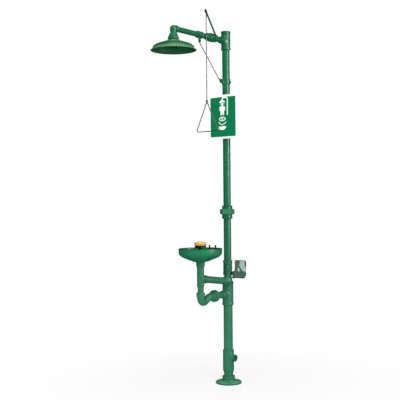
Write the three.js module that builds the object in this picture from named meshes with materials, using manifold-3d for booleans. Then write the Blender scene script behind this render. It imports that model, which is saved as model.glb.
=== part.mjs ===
// A floor-standing emergency drench shower with an eyewash bowl on the same stanchion.
// Millimetres, +Z up. The origin is the centre of the floor flange's underside, the shower
// arm and the bowl point along -Y, and +X is the right-hand side of someone facing +Y.

import * as THREE from "three";
import { mergeVertices } from "three/addons/utils/BufferGeometryUtils.js";
import Module from "manifold-3d";

const wasm = await Module();
wasm.setup();

// ---------------------------------------------------------------- driving dimensions

const GAP = 0.3; // between faces that touch on the real object
const WIDE_ROUND = 20; // sides of the bowl, the bell and the flange
const ROUND = 16; // sides of a pipe or a fitting
const SMALL_ROUND = 10; // sides of a bolt-sized piece
const WIRE_ROUND = 6; // sides of a rod

// Stanchion, from the floor up
const FLANGE_R = 88;
const FLANGE_PCD_R = 68;
const FLANGE_HOLE_R = 7;
const HUB_TOP = 50;
const WASTE_R = 31; // outer radius of the waste pipe
const WASTE_BORE = 25;
const SUPPLY_R = 25.5; // outer radius of the supply pipe
const SUPPLY_BORE = 20.5;
const SOCKET = 20; // how far a stanchion pipe enters a fitting
const WASTE_TEE = [75, 227];
const OUTLET_Z = 175;
const OUTLET_REACH = 60;
const OUTLET_BORE = 16.5;
const DRAIN_TEE = [532, 692];
const DRAIN_Z = 607;
const TRAP_ARM_START = 44; // from the stanchion's axis to the bottom of the drain tee's socket
const SUPPLY_TEE = [738, 836];
const BRANCH_Z = 795;
const UNION_FACE = 1165; // where the two halves of the stanchion union meet
const TOP_TEE = [2270, 2396];

// Shower arm
const ARM_Z = 2331;
const ARM_R = 17.5;
const ARM_BORE = 13.3;
const HEAD_REACH = 546; // from the stanchion to the shower head
const VALVE_REACH = 164; // from the stanchion to the shower valve's stem
const COLLAR_REACH = 285; // from the stanchion to the brace collar
const BRACE_DROP = 38; // from the arm's axis down to the brace rod's upper end
const TEE_MOUTH = 62; // from the stanchion's axis to the mouths of the top and drain tees
const ELBOW_SOCKET = 14; // from the shower elbow's centre to the bottom of its socket

// The shower valve and the pipe ends in it, measured along the arm from the stanchion
const NIPPLE_START = 40;
const BODY_START = 112;
const BODY_SOCKET = 18; // how far the nipple enters the valve
const BODY_END = 190;
const CAP_END = 212;
const CAP_SOCKET = 16; // how far the arm enters the valve
const CHAMBER = 18.8; // half the length of the ball's chamber
const LEVER_X = 45;
const LEVER_REST = 54; // degrees above level
const LEVER_THICKNESS = 4.5;
const LEVER_HALF = 6.5; // half the bar's width
const LEVER_LENGTH = 190;
const TIP_START = 174; // from the lever's pivot to its black tip
const ROD_HOLE = 165; // from the lever's pivot to the pull rod's hole

// Pull rod and handle
const ROD_R = 3;
const ROD_HOLE_R = 3.5;
const HANDLE_TOP = 1892;
const HANDLE_BOTTOM = 1697;
const HANDLE_HALF = 90;

// Shower head
const RIM_Z = 2192;
const RIM_R = 146;

// Sign
const SIGN_SIZE = [229, 3, 297];
const SIGN_CENTRE = [2, -40, 1812];

// Eyewash
const COLUMN_REACH = 295; // from the stanchion to the bowl's centre
const VALVE_X = 42;
const VALVE_Y = -50;
const BALL_Z = 754.3;
const ELBOW_Z = 699.5; // the outlet elbow, under the valve
const ELBOW_R = 26.5;
const ELBOW_ROOM = 30.5; // from the outlet elbow's centre up to the valve's underside
const PORT_Z = 733; // the column's port, which the supply pipe climbs to
const PORT_R = 27;
const EYE_PIPE_R = 23;
const EYE_PIPE_BORE = 19;
const BOWL_RIM_Z = 932;
const BOWL_RIM_R = 143;
const SPRAY_Z = 936; // underside of the spray head

// ---------------------------------------------------------------- materials

const paint = (color, roughness, metalness) =>
  new THREE.MeshStandardMaterial({ color, roughness, metalness });

const GREEN = paint(0x1f8a5c, 0.5, 0.1);
const HEAD_GREEN = paint(0x1c7f52, 0.4, 0.0);
const BOWL_GREEN = paint(0x2a8a62, 0.4, 0.0);
const DARK_GREEN = paint(0x0b3d27, 0.55, 0.1);
const STEEL = paint(0x8d918d, 0.35, 0.9);
const SEAL = paint(0xe6e3da, 0.6, 0.0);
const BLACK = paint(0x121612, 0.6, 0.0);
const YELLOW = paint(0xe9a850, 0.5, 0.0);
const SIGN_GREEN = paint(0x0b8552, 0.45, 0.0);

// ---------------------------------------------------------------- geometry helpers

const FRONT = [0, -1, 0];
const RIGHT = [1, 0, 0];
const DOWN = [0, 0, -1];
const UP = [0, 0, 1];
const radians = THREE.MathUtils.degToRad;

// A solid of revolution about Z. The outline is a list of [radius, height] points.
function turned(outline, sides = ROUND) {
  const points = outline.map(([r, z]) => new THREE.Vector2(r, z));
  if (outline[0][0] > 0) points.push(points[0].clone());
  if (THREE.ShapeUtils.area(points) < 0) points.reverse();
  return new THREE.LatheGeometry(points, sides).rotateX(Math.PI / 2);
}

function tube(outer, inner, length, sides = ROUND) {
  return turned([[inner, 0], [outer, 0], [outer, length], [inner, length]], sides);
}

function rod(radius, length, sides = ROUND) {
  return turned([[0, 0], [radius, 0], [radius, length], [0, length]], sides);
}

function ball(radius, sides = ROUND) {
  return new THREE.SphereGeometry(radius, sides, Math.ceil(sides / 2));
}

function box(low, high) {
  const size = high.map((value, i) => value - low[i]);
  const middle = high.map((value, i) => (value + low[i]) / 2);
  return new THREE.BoxGeometry(...size).translate(...middle);
}

// A flat plate: the outline is drawn in X and Y, and the plate rises along Z.
function plate(shape, thickness, curveSegments = 6) {
  return new THREE.ExtrudeGeometry(shape, {
    depth: thickness,
    bevelEnabled: false,
    curveSegments,
  });
}

// A hexagonal bar along Z, measured across its flats.
function hexBar(acrossFlats, length) {
  return rod(acrossFlats / Math.sqrt(3), length, 6);
}

// Turns a piece made along +Z to point along a direction, then moves it.
function aimed(geometry, direction, at = [0, 0, 0]) {
  const turn = new THREE.Quaternion().setFromUnitVectors(
    new THREE.Vector3(...UP),
    new THREE.Vector3(...direction).normalize(),
  );
  return geometry.applyQuaternion(turn).translate(...at);
}

function toSolid(geometry) {
  const bare = geometry.clone();
  bare.deleteAttribute("normal");
  bare.deleteAttribute("uv");
  const merged = mergeVertices(bare, 1e-4);
  return new wasm.Manifold(
    new wasm.Mesh({
      numProp: 3,
      vertProperties: merged.attributes.position.array,
      triVerts: new Uint32Array(merged.index.array),
    }),
  );
}

function toGeometry(solid) {
  const mesh = solid.getMesh();
  const geometry = new THREE.BufferGeometry();
  geometry.setAttribute("position", new THREE.BufferAttribute(mesh.vertProperties, 3));
  geometry.setIndex(new THREE.BufferAttribute(mesh.triVerts, 1));
  geometry.computeVertexNormals();
  return geometry;
}

// Joins the added geometries and cuts the removed ones out of the result.
function carve(added, removed = []) {
  let solid = toSolid(added[0]);
  for (const piece of added.slice(1)) solid = solid.add(toSolid(piece));
  for (const piece of removed) solid = solid.subtract(toSolid(piece));
  return toGeometry(solid);
}

// A path through given stations, sampled exactly at them.
class StationPath extends THREE.Curve {
  constructor(stations) {
    super();
    this.stations = stations;
  }
  getUtoTmapping(u) {
    return u;
  }
  getPoint(t) {
    const last = this.stations.length - 1;
    const i = Math.min(Math.floor(t * last), last - 1);
    return this.stations[i].clone().lerp(this.stations[i + 1], t * last - i);
  }
  getTangent(t) {
    const last = this.stations.length - 1;
    const at = Math.round(t * last);
    const before = this.stations[Math.max(at - 1, 0)];
    const here = this.stations[at];
    const after = this.stations[Math.min(at + 1, last)];
    const arriving = here.clone().sub(before).normalize();
    return arriving.add(after.clone().sub(here).normalize()).normalize();
  }
}

// Corners joined by straight stretches, each inner corner rounded to an arc.
function roundedPath(corners, bendRadius, stepsPerBend) {
  const points = corners.map((corner) => new THREE.Vector3(...corner));
  const stations = [points[0]];
  for (let i = 1; i < points.length - 1; i++) {
    const arriving = points[i].clone().sub(points[i - 1]).normalize();
    const leaving = points[i + 1].clone().sub(points[i]).normalize();
    const turn = arriving.angleTo(leaving);
    const run = bendRadius * Math.tan(turn / 2);
    const start = points[i].clone().addScaledVector(arriving, -run);
    const inward = leaving.clone().addScaledVector(arriving, -arriving.dot(leaving)).normalize();
    for (let k = 0; k <= stepsPerBend; k++) {
      const angle = (turn * k) / stepsPerBend;
      stations.push(
        start
          .clone()
          .addScaledVector(arriving, bendRadius * Math.sin(angle))
          .addScaledVector(inward, bendRadius * (1 - Math.cos(angle))),
      );
    }
  }
  stations.push(points[points.length - 1]);
  return new StationPath(stations);
}

// A round bar or, with an inner radius, a pipe swept along a path.
function swept(path, outer, sides, inner = 0) {
  const section = new THREE.Shape().absarc(0, 0, outer, 0, Math.PI * 2);
  if (inner > 0) section.holes.push(new THREE.Path().absarc(0, 0, inner, 0, Math.PI * 2));
  return new THREE.ExtrudeGeometry(section, {
    steps: path.stations.length - 1,
    curveSegments: sides / 2, // a full arc is cut into twice this many
    extrudePath: path,
  });
}

// A pipe fitting's corner: two legs from one centre, filled with a ball.
function cornerLegs(radius, legs, sides = ROUND) {
  return [
    ball(radius, sides),
    ...legs.map(([direction, length]) => aimed(rod(radius, length, sides), direction)),
  ];
}

function mesh(name, geometry, material, at = [0, 0, 0]) {
  const made = new THREE.Mesh(geometry, material);
  made.name = name;
  made.position.set(...at);
  return made;
}

function group(children, at = [0, 0, 0]) {
  const made = new THREE.Group();
  made.add(...children);
  made.position.set(...at);
  return made;
}

// ---------------------------------------------------------------- stanchion

function floorFlange() {
  const body = turned([
    [0, 0], [FLANGE_R, 0], [FLANGE_R, 11], [FLANGE_R - 2, 13], [52, 15], [43, 22],
    [42.5, HUB_TOP], [WASTE_R + 3 * GAP, HUB_TOP], [WASTE_R + 3 * GAP, 16], [0, 16],
  ], WIDE_ROUND);
  const holes = [45, 135, 225, 315].map((angle) =>
    rod(FLANGE_HOLE_R, 20, SMALL_ROUND).translate(
      FLANGE_PCD_R * Math.cos(radians(angle)),
      FLANGE_PCD_R * Math.sin(radians(angle)),
      -2,
    ),
  );
  return mesh("floor_flange", carve([body], holes), GREEN);
}

// A straight fitting with a pipe socket at each end.
function straightBody(radius, length, lowerSocket, upperSocket, bore) {
  return turned([
    [lowerSocket, 0], [radius, 0], [radius, length], [upperSocket, length],
    [upperSocket, length - SOCKET], [bore, length - SOCKET], [bore, SOCKET], [lowerSocket, SOCKET],
  ]);
}

function wasteTee() {
  const [from, to] = WASTE_TEE;
  const middle = OUTLET_Z - from;
  const body = straightBody(37.5, to - from, WASTE_R + GAP, WASTE_R + GAP, WASTE_BORE);
  const mouth = aimed(tube(24, OUTLET_BORE, OUTLET_REACH - 28), RIGHT, [28, 0, middle]);
  const way = aimed(rod(OUTLET_BORE, OUTLET_REACH), RIGHT, [10, 0, middle]);
  return mesh("waste_tee", carve([body, mouth], [way]), GREEN, [0, 0, from]);
}

function drainTee() {
  const [from, to] = DRAIN_TEE;
  const middle = DRAIN_Z - from;
  const body = straightBody(38.5, to - from, WASTE_R + GAP, SUPPLY_R + GAP, WASTE_BORE - 2);
  const mouth = aimed(rod(28, TEE_MOUTH), FRONT, [0, 0, middle]);
  const socket = aimed(rod(22.8, 20), FRONT, [0, -TRAP_ARM_START, middle]);
  const way = aimed(rod(18, 50), FRONT, [0, 0, middle]);
  const core = rod(WASTE_BORE - 2, to - from - 2 * SOCKET).translate(0, 0, SOCKET);
  return mesh("drain_tee", carve([body, mouth], [socket, way, core]), GREEN, [0, 0, from]);
}

function separatorNipple() {
  // The web half way up keeps the waste water apart from the supply.
  const [low, high] = [DRAIN_TEE[1] - SOCKET + GAP, SUPPLY_TEE[0] + SOCKET - GAP];
  const length = high - low;
  const outline = [
    [0, 30], [SUPPLY_BORE, 30], [SUPPLY_BORE, 0], [SUPPLY_R, 0],
    [SUPPLY_R, length], [SUPPLY_BORE, length], [SUPPLY_BORE, length - 30], [0, length - 30],
  ];
  return mesh("separator_nipple", turned(outline), GREEN, [0, 0, low]);
}

const branchDirection = [VALVE_X, VALVE_Y, 0];
const branchReach = Math.hypot(VALVE_X, VALVE_Y);
const BRANCH_MOUTH = 42; // from the stanchion's axis to the branch's mouth

function supplyTee() {
  const [from, to] = SUPPLY_TEE;
  const middle = BRANCH_Z - from;
  const body = straightBody(32, to - from, SUPPLY_R + GAP, SUPPLY_R + GAP, SUPPLY_BORE);
  const mouth = aimed(rod(20, BRANCH_MOUTH), branchDirection, [0, 0, middle]);
  const socketStart = new THREE.Vector3(...branchDirection).setLength(BRANCH_MOUTH - 12);
  const socket = aimed(rod(15.3, 20), branchDirection, [socketStart.x, socketStart.y, middle]);
  const way = aimed(rod(10, 38), branchDirection, [0, 0, middle]);
  const core = rod(SUPPLY_BORE, to - from - 2 * SOCKET).translate(0, 0, SOCKET);
  return mesh("supply_tee", carve([body, mouth], [socket, way, core]), GREEN, [0, 0, from]);
}

function topTee() {
  const [from, to] = TOP_TEE;
  const middle = ARM_Z - from;
  const body = straightBody(32.5, to - from, SUPPLY_R + GAP, 24, SUPPLY_BORE);
  const mouth = aimed(rod(24, TEE_MOUTH), FRONT, [0, 0, middle]);
  const socket = aimed(rod(ARM_R + GAP, 24), FRONT, [0, -NIPPLE_START, middle]);
  const way = aimed(rod(ARM_BORE, 45), FRONT, [0, 0, middle]);
  const core = rod(SUPPLY_BORE, to - from - 2 * SOCKET).translate(0, 0, SOCKET);
  return mesh("top_tee", carve([body, mouth], [socket, way, core]), GREEN, [0, 0, from]);
}

function stanchionPipe(name, outer, bore, low, high) {
  return mesh(name, tube(outer, bore, high - low), GREEN, [0, 0, low]);
}

function stanchionUnion() {
  const lower = turned([
    [SUPPLY_R + GAP, -45], [36, -45], [36, -16], [39, -14], [39, 0],
    [SUPPLY_BORE, 0], [SUPPLY_BORE, -20], [SUPPLY_R + GAP, -20],
  ]);
  const gasket = turned([[SUPPLY_BORE, GAP], [35, GAP], [35, 2.3], [SUPPLY_BORE, 2.3]]);
  const upper = turned([
    [SUPPLY_BORE, 2.6], [39, 2.6], [39, 10], [36, 10], [36, 44],
    [SUPPLY_R + GAP, 44], [SUPPLY_R + GAP, 20], [SUPPLY_BORE, 20],
  ]);
  const nut = carve(
    [hexBar(88, 36).translate(0, 0, -15)],
    [rod(39 + GAP, 40).translate(0, 0, -30 + GAP), rod(36 + GAP, 60).translate(0, 0, -29)],
  );
  return group(
    [
      mesh("union_lower_end", lower, GREEN),
      mesh("union_gasket", gasket, SEAL),
      mesh("union_upper_end", upper, GREEN),
      mesh("union_nut", nut, GREEN),
    ],
    [0, 0, UNION_FACE],
  );
}

function stanchion() {
  return group([
    floorFlange(),
    stanchionPipe("waste_nipple", WASTE_R, WASTE_BORE, 16 + GAP, WASTE_TEE[0] + SOCKET - GAP),
    wasteTee(),
    stanchionPipe(
      "waste_pipe", WASTE_R, WASTE_BORE, WASTE_TEE[1] - SOCKET + GAP, DRAIN_TEE[0] + SOCKET - GAP,
    ),
    drainTee(),
    separatorNipple(),
    supplyTee(),
    stanchionPipe(
      "lower_supply_pipe", SUPPLY_R, SUPPLY_BORE,
      SUPPLY_TEE[1] - SOCKET + GAP, UNION_FACE - 20 - GAP,
    ),
    stanchionUnion(),
    stanchionPipe(
      "upper_supply_pipe", SUPPLY_R, SUPPLY_BORE,
      UNION_FACE + 20 + GAP, TOP_TEE[0] + SOCKET - GAP,
    ),
    topTee(),
  ]);
}

// ---------------------------------------------------------------- shower arm and valve

// A piece of the arm, turned about the arm's axis, that starts this far from the stanchion.
function armPiece(name, geometry, material, reach) {
  return mesh(name, aimed(geometry, FRONT), material, [0, -reach, 0]);
}


function showerValveBody() {
  const length = BODY_END - BODY_START;
  const stemAt = VALVE_REACH - BODY_START;
  const shell = turned([
    [0, 16], [26, 16], [29, 26], [29, length - 12], [27, length], [0, length],
  ]);
  const collar = hexBar(46, 22);
  const boss = aimed(rod(14, 36, SMALL_ROUND), RIGHT, [0, 0, stemAt]);
  const socket = rod(ARM_R + GAP, BODY_SOCKET + 2).translate(0, 0, -2);
  const port = rod(11, length);
  const chamber = rod(20, length).translate(0, 0, stemAt - CHAMBER);
  const stemHole = aimed(rod(5.3, 60, SMALL_ROUND), RIGHT, [0, 0, stemAt]);
  return armPiece(
    "shower_valve_body",
    carve([shell, collar, boss], [socket, port, chamber, stemHole]),
    GREEN,
    BODY_START,
  );
}

function showerValveCap() {
  const start = VALVE_REACH + CHAMBER;
  const insert = rod(20 - GAP, 12);
  const hex = hexBar(46, CAP_END - BODY_END - GAP).translate(0, 0, BODY_END + GAP - start);
  const port = rod(11, 40).translate(0, 0, -2);
  const socket = rod(ARM_R + GAP, 20).translate(0, 0, CAP_END - CAP_SOCKET - start);
  return armPiece("shower_valve_cap", carve([insert, hex], [port, socket]), GREEN, start);
}

function showerSeat(name, reach) {
  return armPiece(name, tube(19.6, 10.5, 5.5), SEAL, reach);
}

// A valve ball with its way along Z and a slot for the stem on the +X side.
function valveBall(radius, way) {
  const slot = box([radius - 3.5, -2, -radius], [radius + 1, 2, radius]);
  return carve(
    [ball(radius, SMALL_ROUND)],
    [rod(way, 3 * radius, SMALL_ROUND).translate(0, 0, -1.5 * radius), slot],
  );
}

// A stem along +X with a tongue for the ball's slot. Lengths are measured from the ball's centre.
function valveStem(ballRadius, stemRadius, length) {
  const shank = aimed(
    rod(stemRadius, length - ballRadius - GAP, SMALL_ROUND),
    RIGHT,
    [ballRadius + GAP, 0, 0],
  );
  const tongue = box([ballRadius - 3.2, -1.7, -4], [ballRadius + 1, 1.7, 4]);
  return carve([shank, tongue]);
}

function hexNut(acrossFlats, thickness, hole) {
  return carve([hexBar(acrossFlats, thickness)], [rod(hole, 60, SMALL_ROUND).translate(0, 0, -5)]);
}

// A flat bar along -Y in the plane of the lever, with a round eye at each end.
function leverBar() {
  const eyeEnd = 33; // degrees round the eye to where the bar leaves it
  const outline = new THREE.Shape();
  outline.absarc(0, 0, 12, radians(eyeEnd), radians(360 - eyeEnd), false);
  outline.absarc(LEVER_LENGTH - LEVER_HALF, 0, LEVER_HALF, radians(-90), radians(90), false);
  outline.closePath();
  outline.holes.push(new THREE.Path().absarc(0, 0, 5.3, 0, Math.PI * 2));
  outline.holes.push(new THREE.Path().absarc(ROD_HOLE, 0, ROD_HOLE_R, 0, Math.PI * 2));
  return plate(outline, LEVER_THICKNESS)
    .translate(0, 0, -LEVER_THICKNESS / 2)
    .applyMatrix4(
      new THREE.Matrix4().makeBasis(
        new THREE.Vector3(0, -1, 0),
        new THREE.Vector3(0, 0, 1),
        new THREE.Vector3(-1, 0, 0),
      ),
    );
}

function leverTip() {
  const cap = aimed(
    turned([[0, 0], [7.5, 0], [8, 3], [8, 18], [6, 23], [0, 24]], SMALL_ROUND),
    FRONT,
    [0, -TIP_START, 0],
  );
  const halfSlot = LEVER_THICKNESS / 2 + GAP;
  const slot = box(
    [-halfSlot, -(LEVER_LENGTH + GAP), -LEVER_HALF - GAP],
    [halfSlot, -TIP_START + 2, LEVER_HALF + GAP],
  );
  return carve([cap], [slot]);
}

function showerLever() {
  const turning = group([
    mesh("shower_lever", leverBar(), DARK_GREEN, [LEVER_X, 0, 0]),
    mesh("shower_lever_tip", leverTip(), BLACK, [LEVER_X, 0, 0]),
  ]);
  turning.rotation.x = -radians(LEVER_REST);
  const nutStart = LEVER_X + LEVER_THICKNESS / 2 + GAP;
  return group(
    [
      turning,
      mesh("shower_ball", valveBall(16, 10), STEEL),
      mesh("shower_stem", valveStem(16, 5, 54), STEEL),
      mesh("shower_lever_nut", aimed(hexNut(17, 6, 5.3), RIGHT), STEEL, [nutStart, 0, 0]),
    ],
    [0, -VALVE_REACH, 0],
  );
}

function armCollar() {
  const band = tube(23, ARM_R + GAP, 46).translate(0, 0, -23);
  const lug = box([-3, 18, -10], [3, 48, 10]);
  const hole = aimed(rod(ROD_HOLE_R, 20, SMALL_ROUND), RIGHT, [-10, BRACE_DROP, 0]);
  // The lug is made on the side that points down once the band lies along the arm.
  return armPiece(
    "arm_collar",
    carve([band, lug], [hole, rod(ARM_R + GAP, 60).translate(0, 0, -30)]).rotateZ(Math.PI),
    GREEN,
    COLLAR_REACH,
  );
}

function showerElbow() {
  const maleEnd = 68;
  const added = [
    ...cornerLegs(24, [[[0, 1, 0], 32], [DOWN, 24]]),
    aimed(rod(16.5, maleEnd), DOWN),
  ];
  const removed = [
    aimed(rod(ARM_R + GAP, 20), [0, 1, 0], [0, ELBOW_SOCKET, 0]),
    aimed(rod(12, 40), [0, 1, 0]),
    ball(12, SMALL_ROUND),
    aimed(rod(12, maleEnd + 5), DOWN),
  ];
  return mesh("shower_elbow", carve(added, removed), GREEN, [0, -HEAD_REACH, 0]);
}

function showerArm() {
  const nutStart = 36 + GAP;
  const nippleLength = BODY_START + BODY_SOCKET - NIPPLE_START - 2 * GAP;
  const pipeStart = CAP_END - CAP_SOCKET + GAP;
  const pipeLength = HEAD_REACH - ELBOW_SOCKET - GAP - pipeStart;
  return group(
    [
      armPiece("arm_nipple", tube(ARM_R, ARM_BORE, nippleLength), GREEN, NIPPLE_START + GAP),
      showerValveBody(),
      showerValveCap(),
      showerSeat("shower_inlet_seat", VALVE_REACH - CHAMBER + GAP),
      showerSeat("shower_outlet_seat", VALVE_REACH + CHAMBER - GAP - 5.5),
      mesh("shower_packing_nut", aimed(hexNut(24, 5, 5.3), RIGHT), STEEL, [
        nutStart, -VALVE_REACH, 0,
      ]),
      showerLever(),
      armPiece("arm_pipe", tube(ARM_R, ARM_BORE, pipeLength), GREEN, pipeStart),
      armCollar(),
      showerElbow(),
    ],
    [0, 0, ARM_Z],
  );
}

// ---------------------------------------------------------------- shower head

function showerHead() {
  const top = ARM_Z - RIM_Z; // the arm's axis above the rim
  const nut = turned([
    [16.5 + GAP, top - 51], [22.5, top - 51], [22.5, top - 28], [16.5 + GAP, top - 28],
  ]);
  const flangedNut = carve([nut, tube(34.5, 16.5 + GAP, 19).translate(0, 0, top - 70)]);
  const wall = 2.5;
  const bell = turned([
    [RIM_R, 0], [RIM_R, 2], [134, 13], [129.5, 25], [112, 37], [78, 49],
    [46, 57], [42, 65], [20, 68.7], [12.5, 68.7],
    [12.5, 65], [39, 60], [44, 57 - wall - 1], [77, 49 - wall - 0.5],
    [110, 37 - wall - 1], [126.5, 24], [131, 12], [RIM_R - 3, 0],
  ], WIDE_ROUND);
  const deflector = carve([
    turned([[0, 20], [50, 20], [52, 22.5], [12, 26], [0, 26]]),
    rod(4, 44, SMALL_ROUND).translate(0, 0, 22),
    box([-11.8, -2, 58], [11.8, 2, 66]),
  ]);
  return group(
    [
      mesh("shower_head_nut", flangedNut, HEAD_GREEN),
      mesh("shower_bell", bell, HEAD_GREEN),
      mesh("shower_deflector", deflector, DARK_GREEN),
    ],
    [0, -HEAD_REACH, RIM_Z],
  );
}

// ---------------------------------------------------------------- pull rod and handle

function pullLine() {
  const rodX = LEVER_X - LEVER_THICKNESS / 2 - ROD_R - 1;
  const holeY = -VALVE_REACH - ROD_HOLE * Math.cos(radians(LEVER_REST));
  const holeZ = ARM_Z + ROD_HOLE * Math.sin(radians(LEVER_REST));
  const hook = roundedPath(
    [[LEVER_X + 7, holeY, holeZ], [rodX, holeY, holeZ], [rodX, holeY, HANDLE_TOP + 12]], 4, 4,
  );
  const middle = (HANDLE_TOP + HANDLE_BOTTOM) / 2;
  const corners = [
    [-2, 0, HANDLE_TOP - 4 - middle],
    [-HANDLE_HALF, 0, HANDLE_BOTTOM - middle],
    [HANDLE_HALF, 0, HANDLE_BOTTOM - middle],
    [2, 0, HANDLE_TOP - 4 - middle],
  ];
  const loop = swept(roundedPath(corners, 9, 5), ROD_R, WIRE_ROUND);
  const ferrule = rod(6.5, 24, 12).translate(0, 0, HANDLE_TOP - 13 - middle);
  return group([
    mesh("pull_rod", swept(hook, ROD_R, WIRE_ROUND), STEEL),
    mesh("pull_handle", carve([ferrule, loop]), STEEL, [rodX, holeY, middle]),
  ]);
}

// ---------------------------------------------------------------- brace and sign

const BRACE_Z = 2054;
const BRACE_EAR_Y = -58;

function clampBand(height) {
  return tube(SUPPLY_R + 4.5, SUPPLY_R + GAP, height).translate(0, 0, -height / 2);
}

// The stanchion's way through a clamp.
function clampRoom() {
  return rod(SUPPLY_R + GAP, 60).translate(0, 0, -30);
}

function braceParts() {
  const ear = box([-3, BRACE_EAR_Y - 12, -14], [3, -27, 14]);
  const hole = aimed(rod(ROD_HOLE_R, 20, SMALL_ROUND), RIGHT, [-10, BRACE_EAR_Y, 0]);
  const side = -7.5; // the rod lies beside the lugs, and its bent ends pass through them
  const path = roundedPath(
    [
      [5, -COLLAR_REACH, ARM_Z - BRACE_DROP], [side, -COLLAR_REACH, ARM_Z - BRACE_DROP],
      [side, BRACE_EAR_Y, BRACE_Z], [5, BRACE_EAR_Y, BRACE_Z],
    ],
    4, 3,
  );
  const clamp = carve([clampBand(34), ear], [hole, clampRoom()]);
  return group([
    mesh("brace_clamp", clamp, GREEN, [0, 0, BRACE_Z]),
    mesh("brace_rod", swept(path, ROD_R, WIRE_ROUND), STEEL),
  ]);
}

function signParts() {
  const [width, thickness, height] = SIGN_SIZE;
  const [x, y, z] = SIGN_CENTRE;
  const back = y + thickness / 2 + GAP;
  const pad = box([-20, back, -15], [20, -24, 15]);
  const clamp = carve([clampBand(30), pad], [clampRoom()]);
  const panel = new THREE.BoxGeometry(width, thickness, height);
  return group([
    mesh("sign_plate", panel, SIGN_GREEN, [x, y, z]),
    mesh("sign_clamp", clamp, STEEL, [0, 0, z]),
  ]);
}

// ---------------------------------------------------------------- eyewash valve and flag

function branchElbow() {
  const back = [-VALVE_X, -VALVE_Y, 0];
  const added = [
    ...cornerLegs(19, [[back, branchReach - BRANCH_MOUTH - GAP]]),
    aimed(rod(15, branchReach - BRANCH_MOUTH + 12 - GAP), back),
    aimed(rod(15, 27), DOWN),
  ];
  const removed = [
    aimed(rod(10, 60), back),
    ball(10, SMALL_ROUND),
    aimed(rod(10, 40), DOWN),
  ];
  return mesh("branch_elbow", carve(added, removed), GREEN, [0, 0, BRANCH_Z - BALL_Z]);
}

function eyewashValveBody() {
  const top = BRANCH_Z - 19 - GAP - BALL_Z;
  const bottom = ELBOW_Z + ELBOW_ROOM + GAP - BALL_Z;
  const shell = turned([
    [0, bottom], [21.5, bottom], [22.5, bottom + 10], [22.5, top - 10], [21.5, top], [0, top],
  ]);
  const boss = aimed(rod(12, 27, SMALL_ROUND), RIGHT);
  const removed = [
    rod(15 + GAP, 20).translate(0, 0, top - 8.4),
    rod(8.5, 40).translate(0, 0, -10),
    rod(15.8, 11.7 - bottom + 5).translate(0, 0, bottom - 5),
    aimed(rod(4.3, 60, SMALL_ROUND), RIGHT),
  ];
  return mesh("eyewash_valve_body", carve([shell, boss], removed), GREEN);
}

function pushFlag() {
  const thickness = 3;
  const face = box([45, -thickness / 2, -6], [148, thickness / 2, 91]);
  const lip = box([45, -thickness / 2, -34], [148, thickness / 2, 2])
    .translate(0, 0, 2)
    .rotateX(-radians(45))
    .translate(0, -1, -6);
  const strap = box([44, -13, -36], [44 + thickness, 13, 42]);
  const hole = aimed(rod(4.3, 30, SMALL_ROUND), RIGHT, [35, 0, 0]);
  const boltRoom = aimed(rod(8, 9, SMALL_ROUND), RIGHT, [44 + thickness, 0, 0]);
  return carve([face, lip, strap], [hole, boltRoom]);
}

function outletElbow() {
  const ahead = columnToValve.clone().negate().toArray();
  const centre = ELBOW_Z - BALL_Z;
  const spigotTop = BALL_Z - 11.4 - GAP - ELBOW_Z;
  const added = [...cornerLegs(ELBOW_R, [[ahead, 45]]), aimed(rod(15.4, spigotTop), UP)];
  const start = new THREE.Vector3(...ahead).setLength(27);
  const removed = [
    aimed(rod(EYE_PIPE_R + GAP, 20), ahead, start.toArray()),
    aimed(rod(11, 40), ahead),
    ball(11, SMALL_ROUND),
    aimed(rod(11, spigotTop + 5), UP),
  ];
  return mesh("outlet_elbow", carve(added, removed), GREEN, [0, 0, centre]);
}

function eyewashValve() {
  const packing = aimed(hexNut(20, 6, 4.3), RIGHT, [27 + GAP, 0, 0]);
  const flagNut = aimed(hexNut(13, 5, 4.3), RIGHT, [47 + GAP, 0, 0]);
  return group(
    [
      branchElbow(),
      eyewashValveBody(),
      mesh("eyewash_upper_seat", tube(15.4, 8.5, 3), SEAL, [0, 0, 8.4]),
      mesh("eyewash_lower_seat", tube(15.4, 8.5, 3), SEAL, [0, 0, -11.4]),
      mesh("eyewash_ball", valveBall(11, 7).rotateX(Math.PI / 2), STEEL),
      mesh("eyewash_stem", valveStem(11, 4, 54).rotateX(Math.PI / 2), STEEL),
      mesh("eyewash_packing_nut", packing, STEEL),
      mesh("push_flag", pushFlag(), STEEL),
      mesh("flag_nut", flagNut, STEEL),
      outletElbow(),
    ],
    [VALVE_X, VALVE_Y, BALL_Z],
  );
}

// ---------------------------------------------------------------- bowl, column and drain

// From the column's port down to the outlet elbow.
const columnToValve = new THREE.Vector3(VALVE_X, COLUMN_REACH + VALVE_Y, ELBOW_Z - PORT_Z);
const PORT_SOCKET = 31; // from the column's axis to the bottom of its pipe socket

function columnBody() {
  const ahead = columnToValve.toArray();
  const socket = columnToValve.clone().setLength(PORT_SOCKET);
  const outside = turned([
    [0, 625], [20, 625], [20, 680], [24.5, 684], [24.5, 814], [28.5, 818],
    [28.5, 841.7], [0, 841.7],
  ]);
  const removed = [
    rod(17, 200).translate(0, 0, 820),
    rod(21, 134).translate(0, 0, 688),
    rod(16.5, 80).translate(0, 0, 620),
    aimed(rod(EYE_PIPE_R + GAP, 40), ahead, [socket.x, socket.y, PORT_Z + socket.z]),
    aimed(rod(8.3, 60, SMALL_ROUND), ahead, [0, 0, PORT_Z]),
  ];
  const port = aimed(rod(PORT_R, 48), ahead, [0, 0, PORT_Z]);
  return mesh("column_body", carve([outside, port], removed), GREEN);
}

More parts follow.
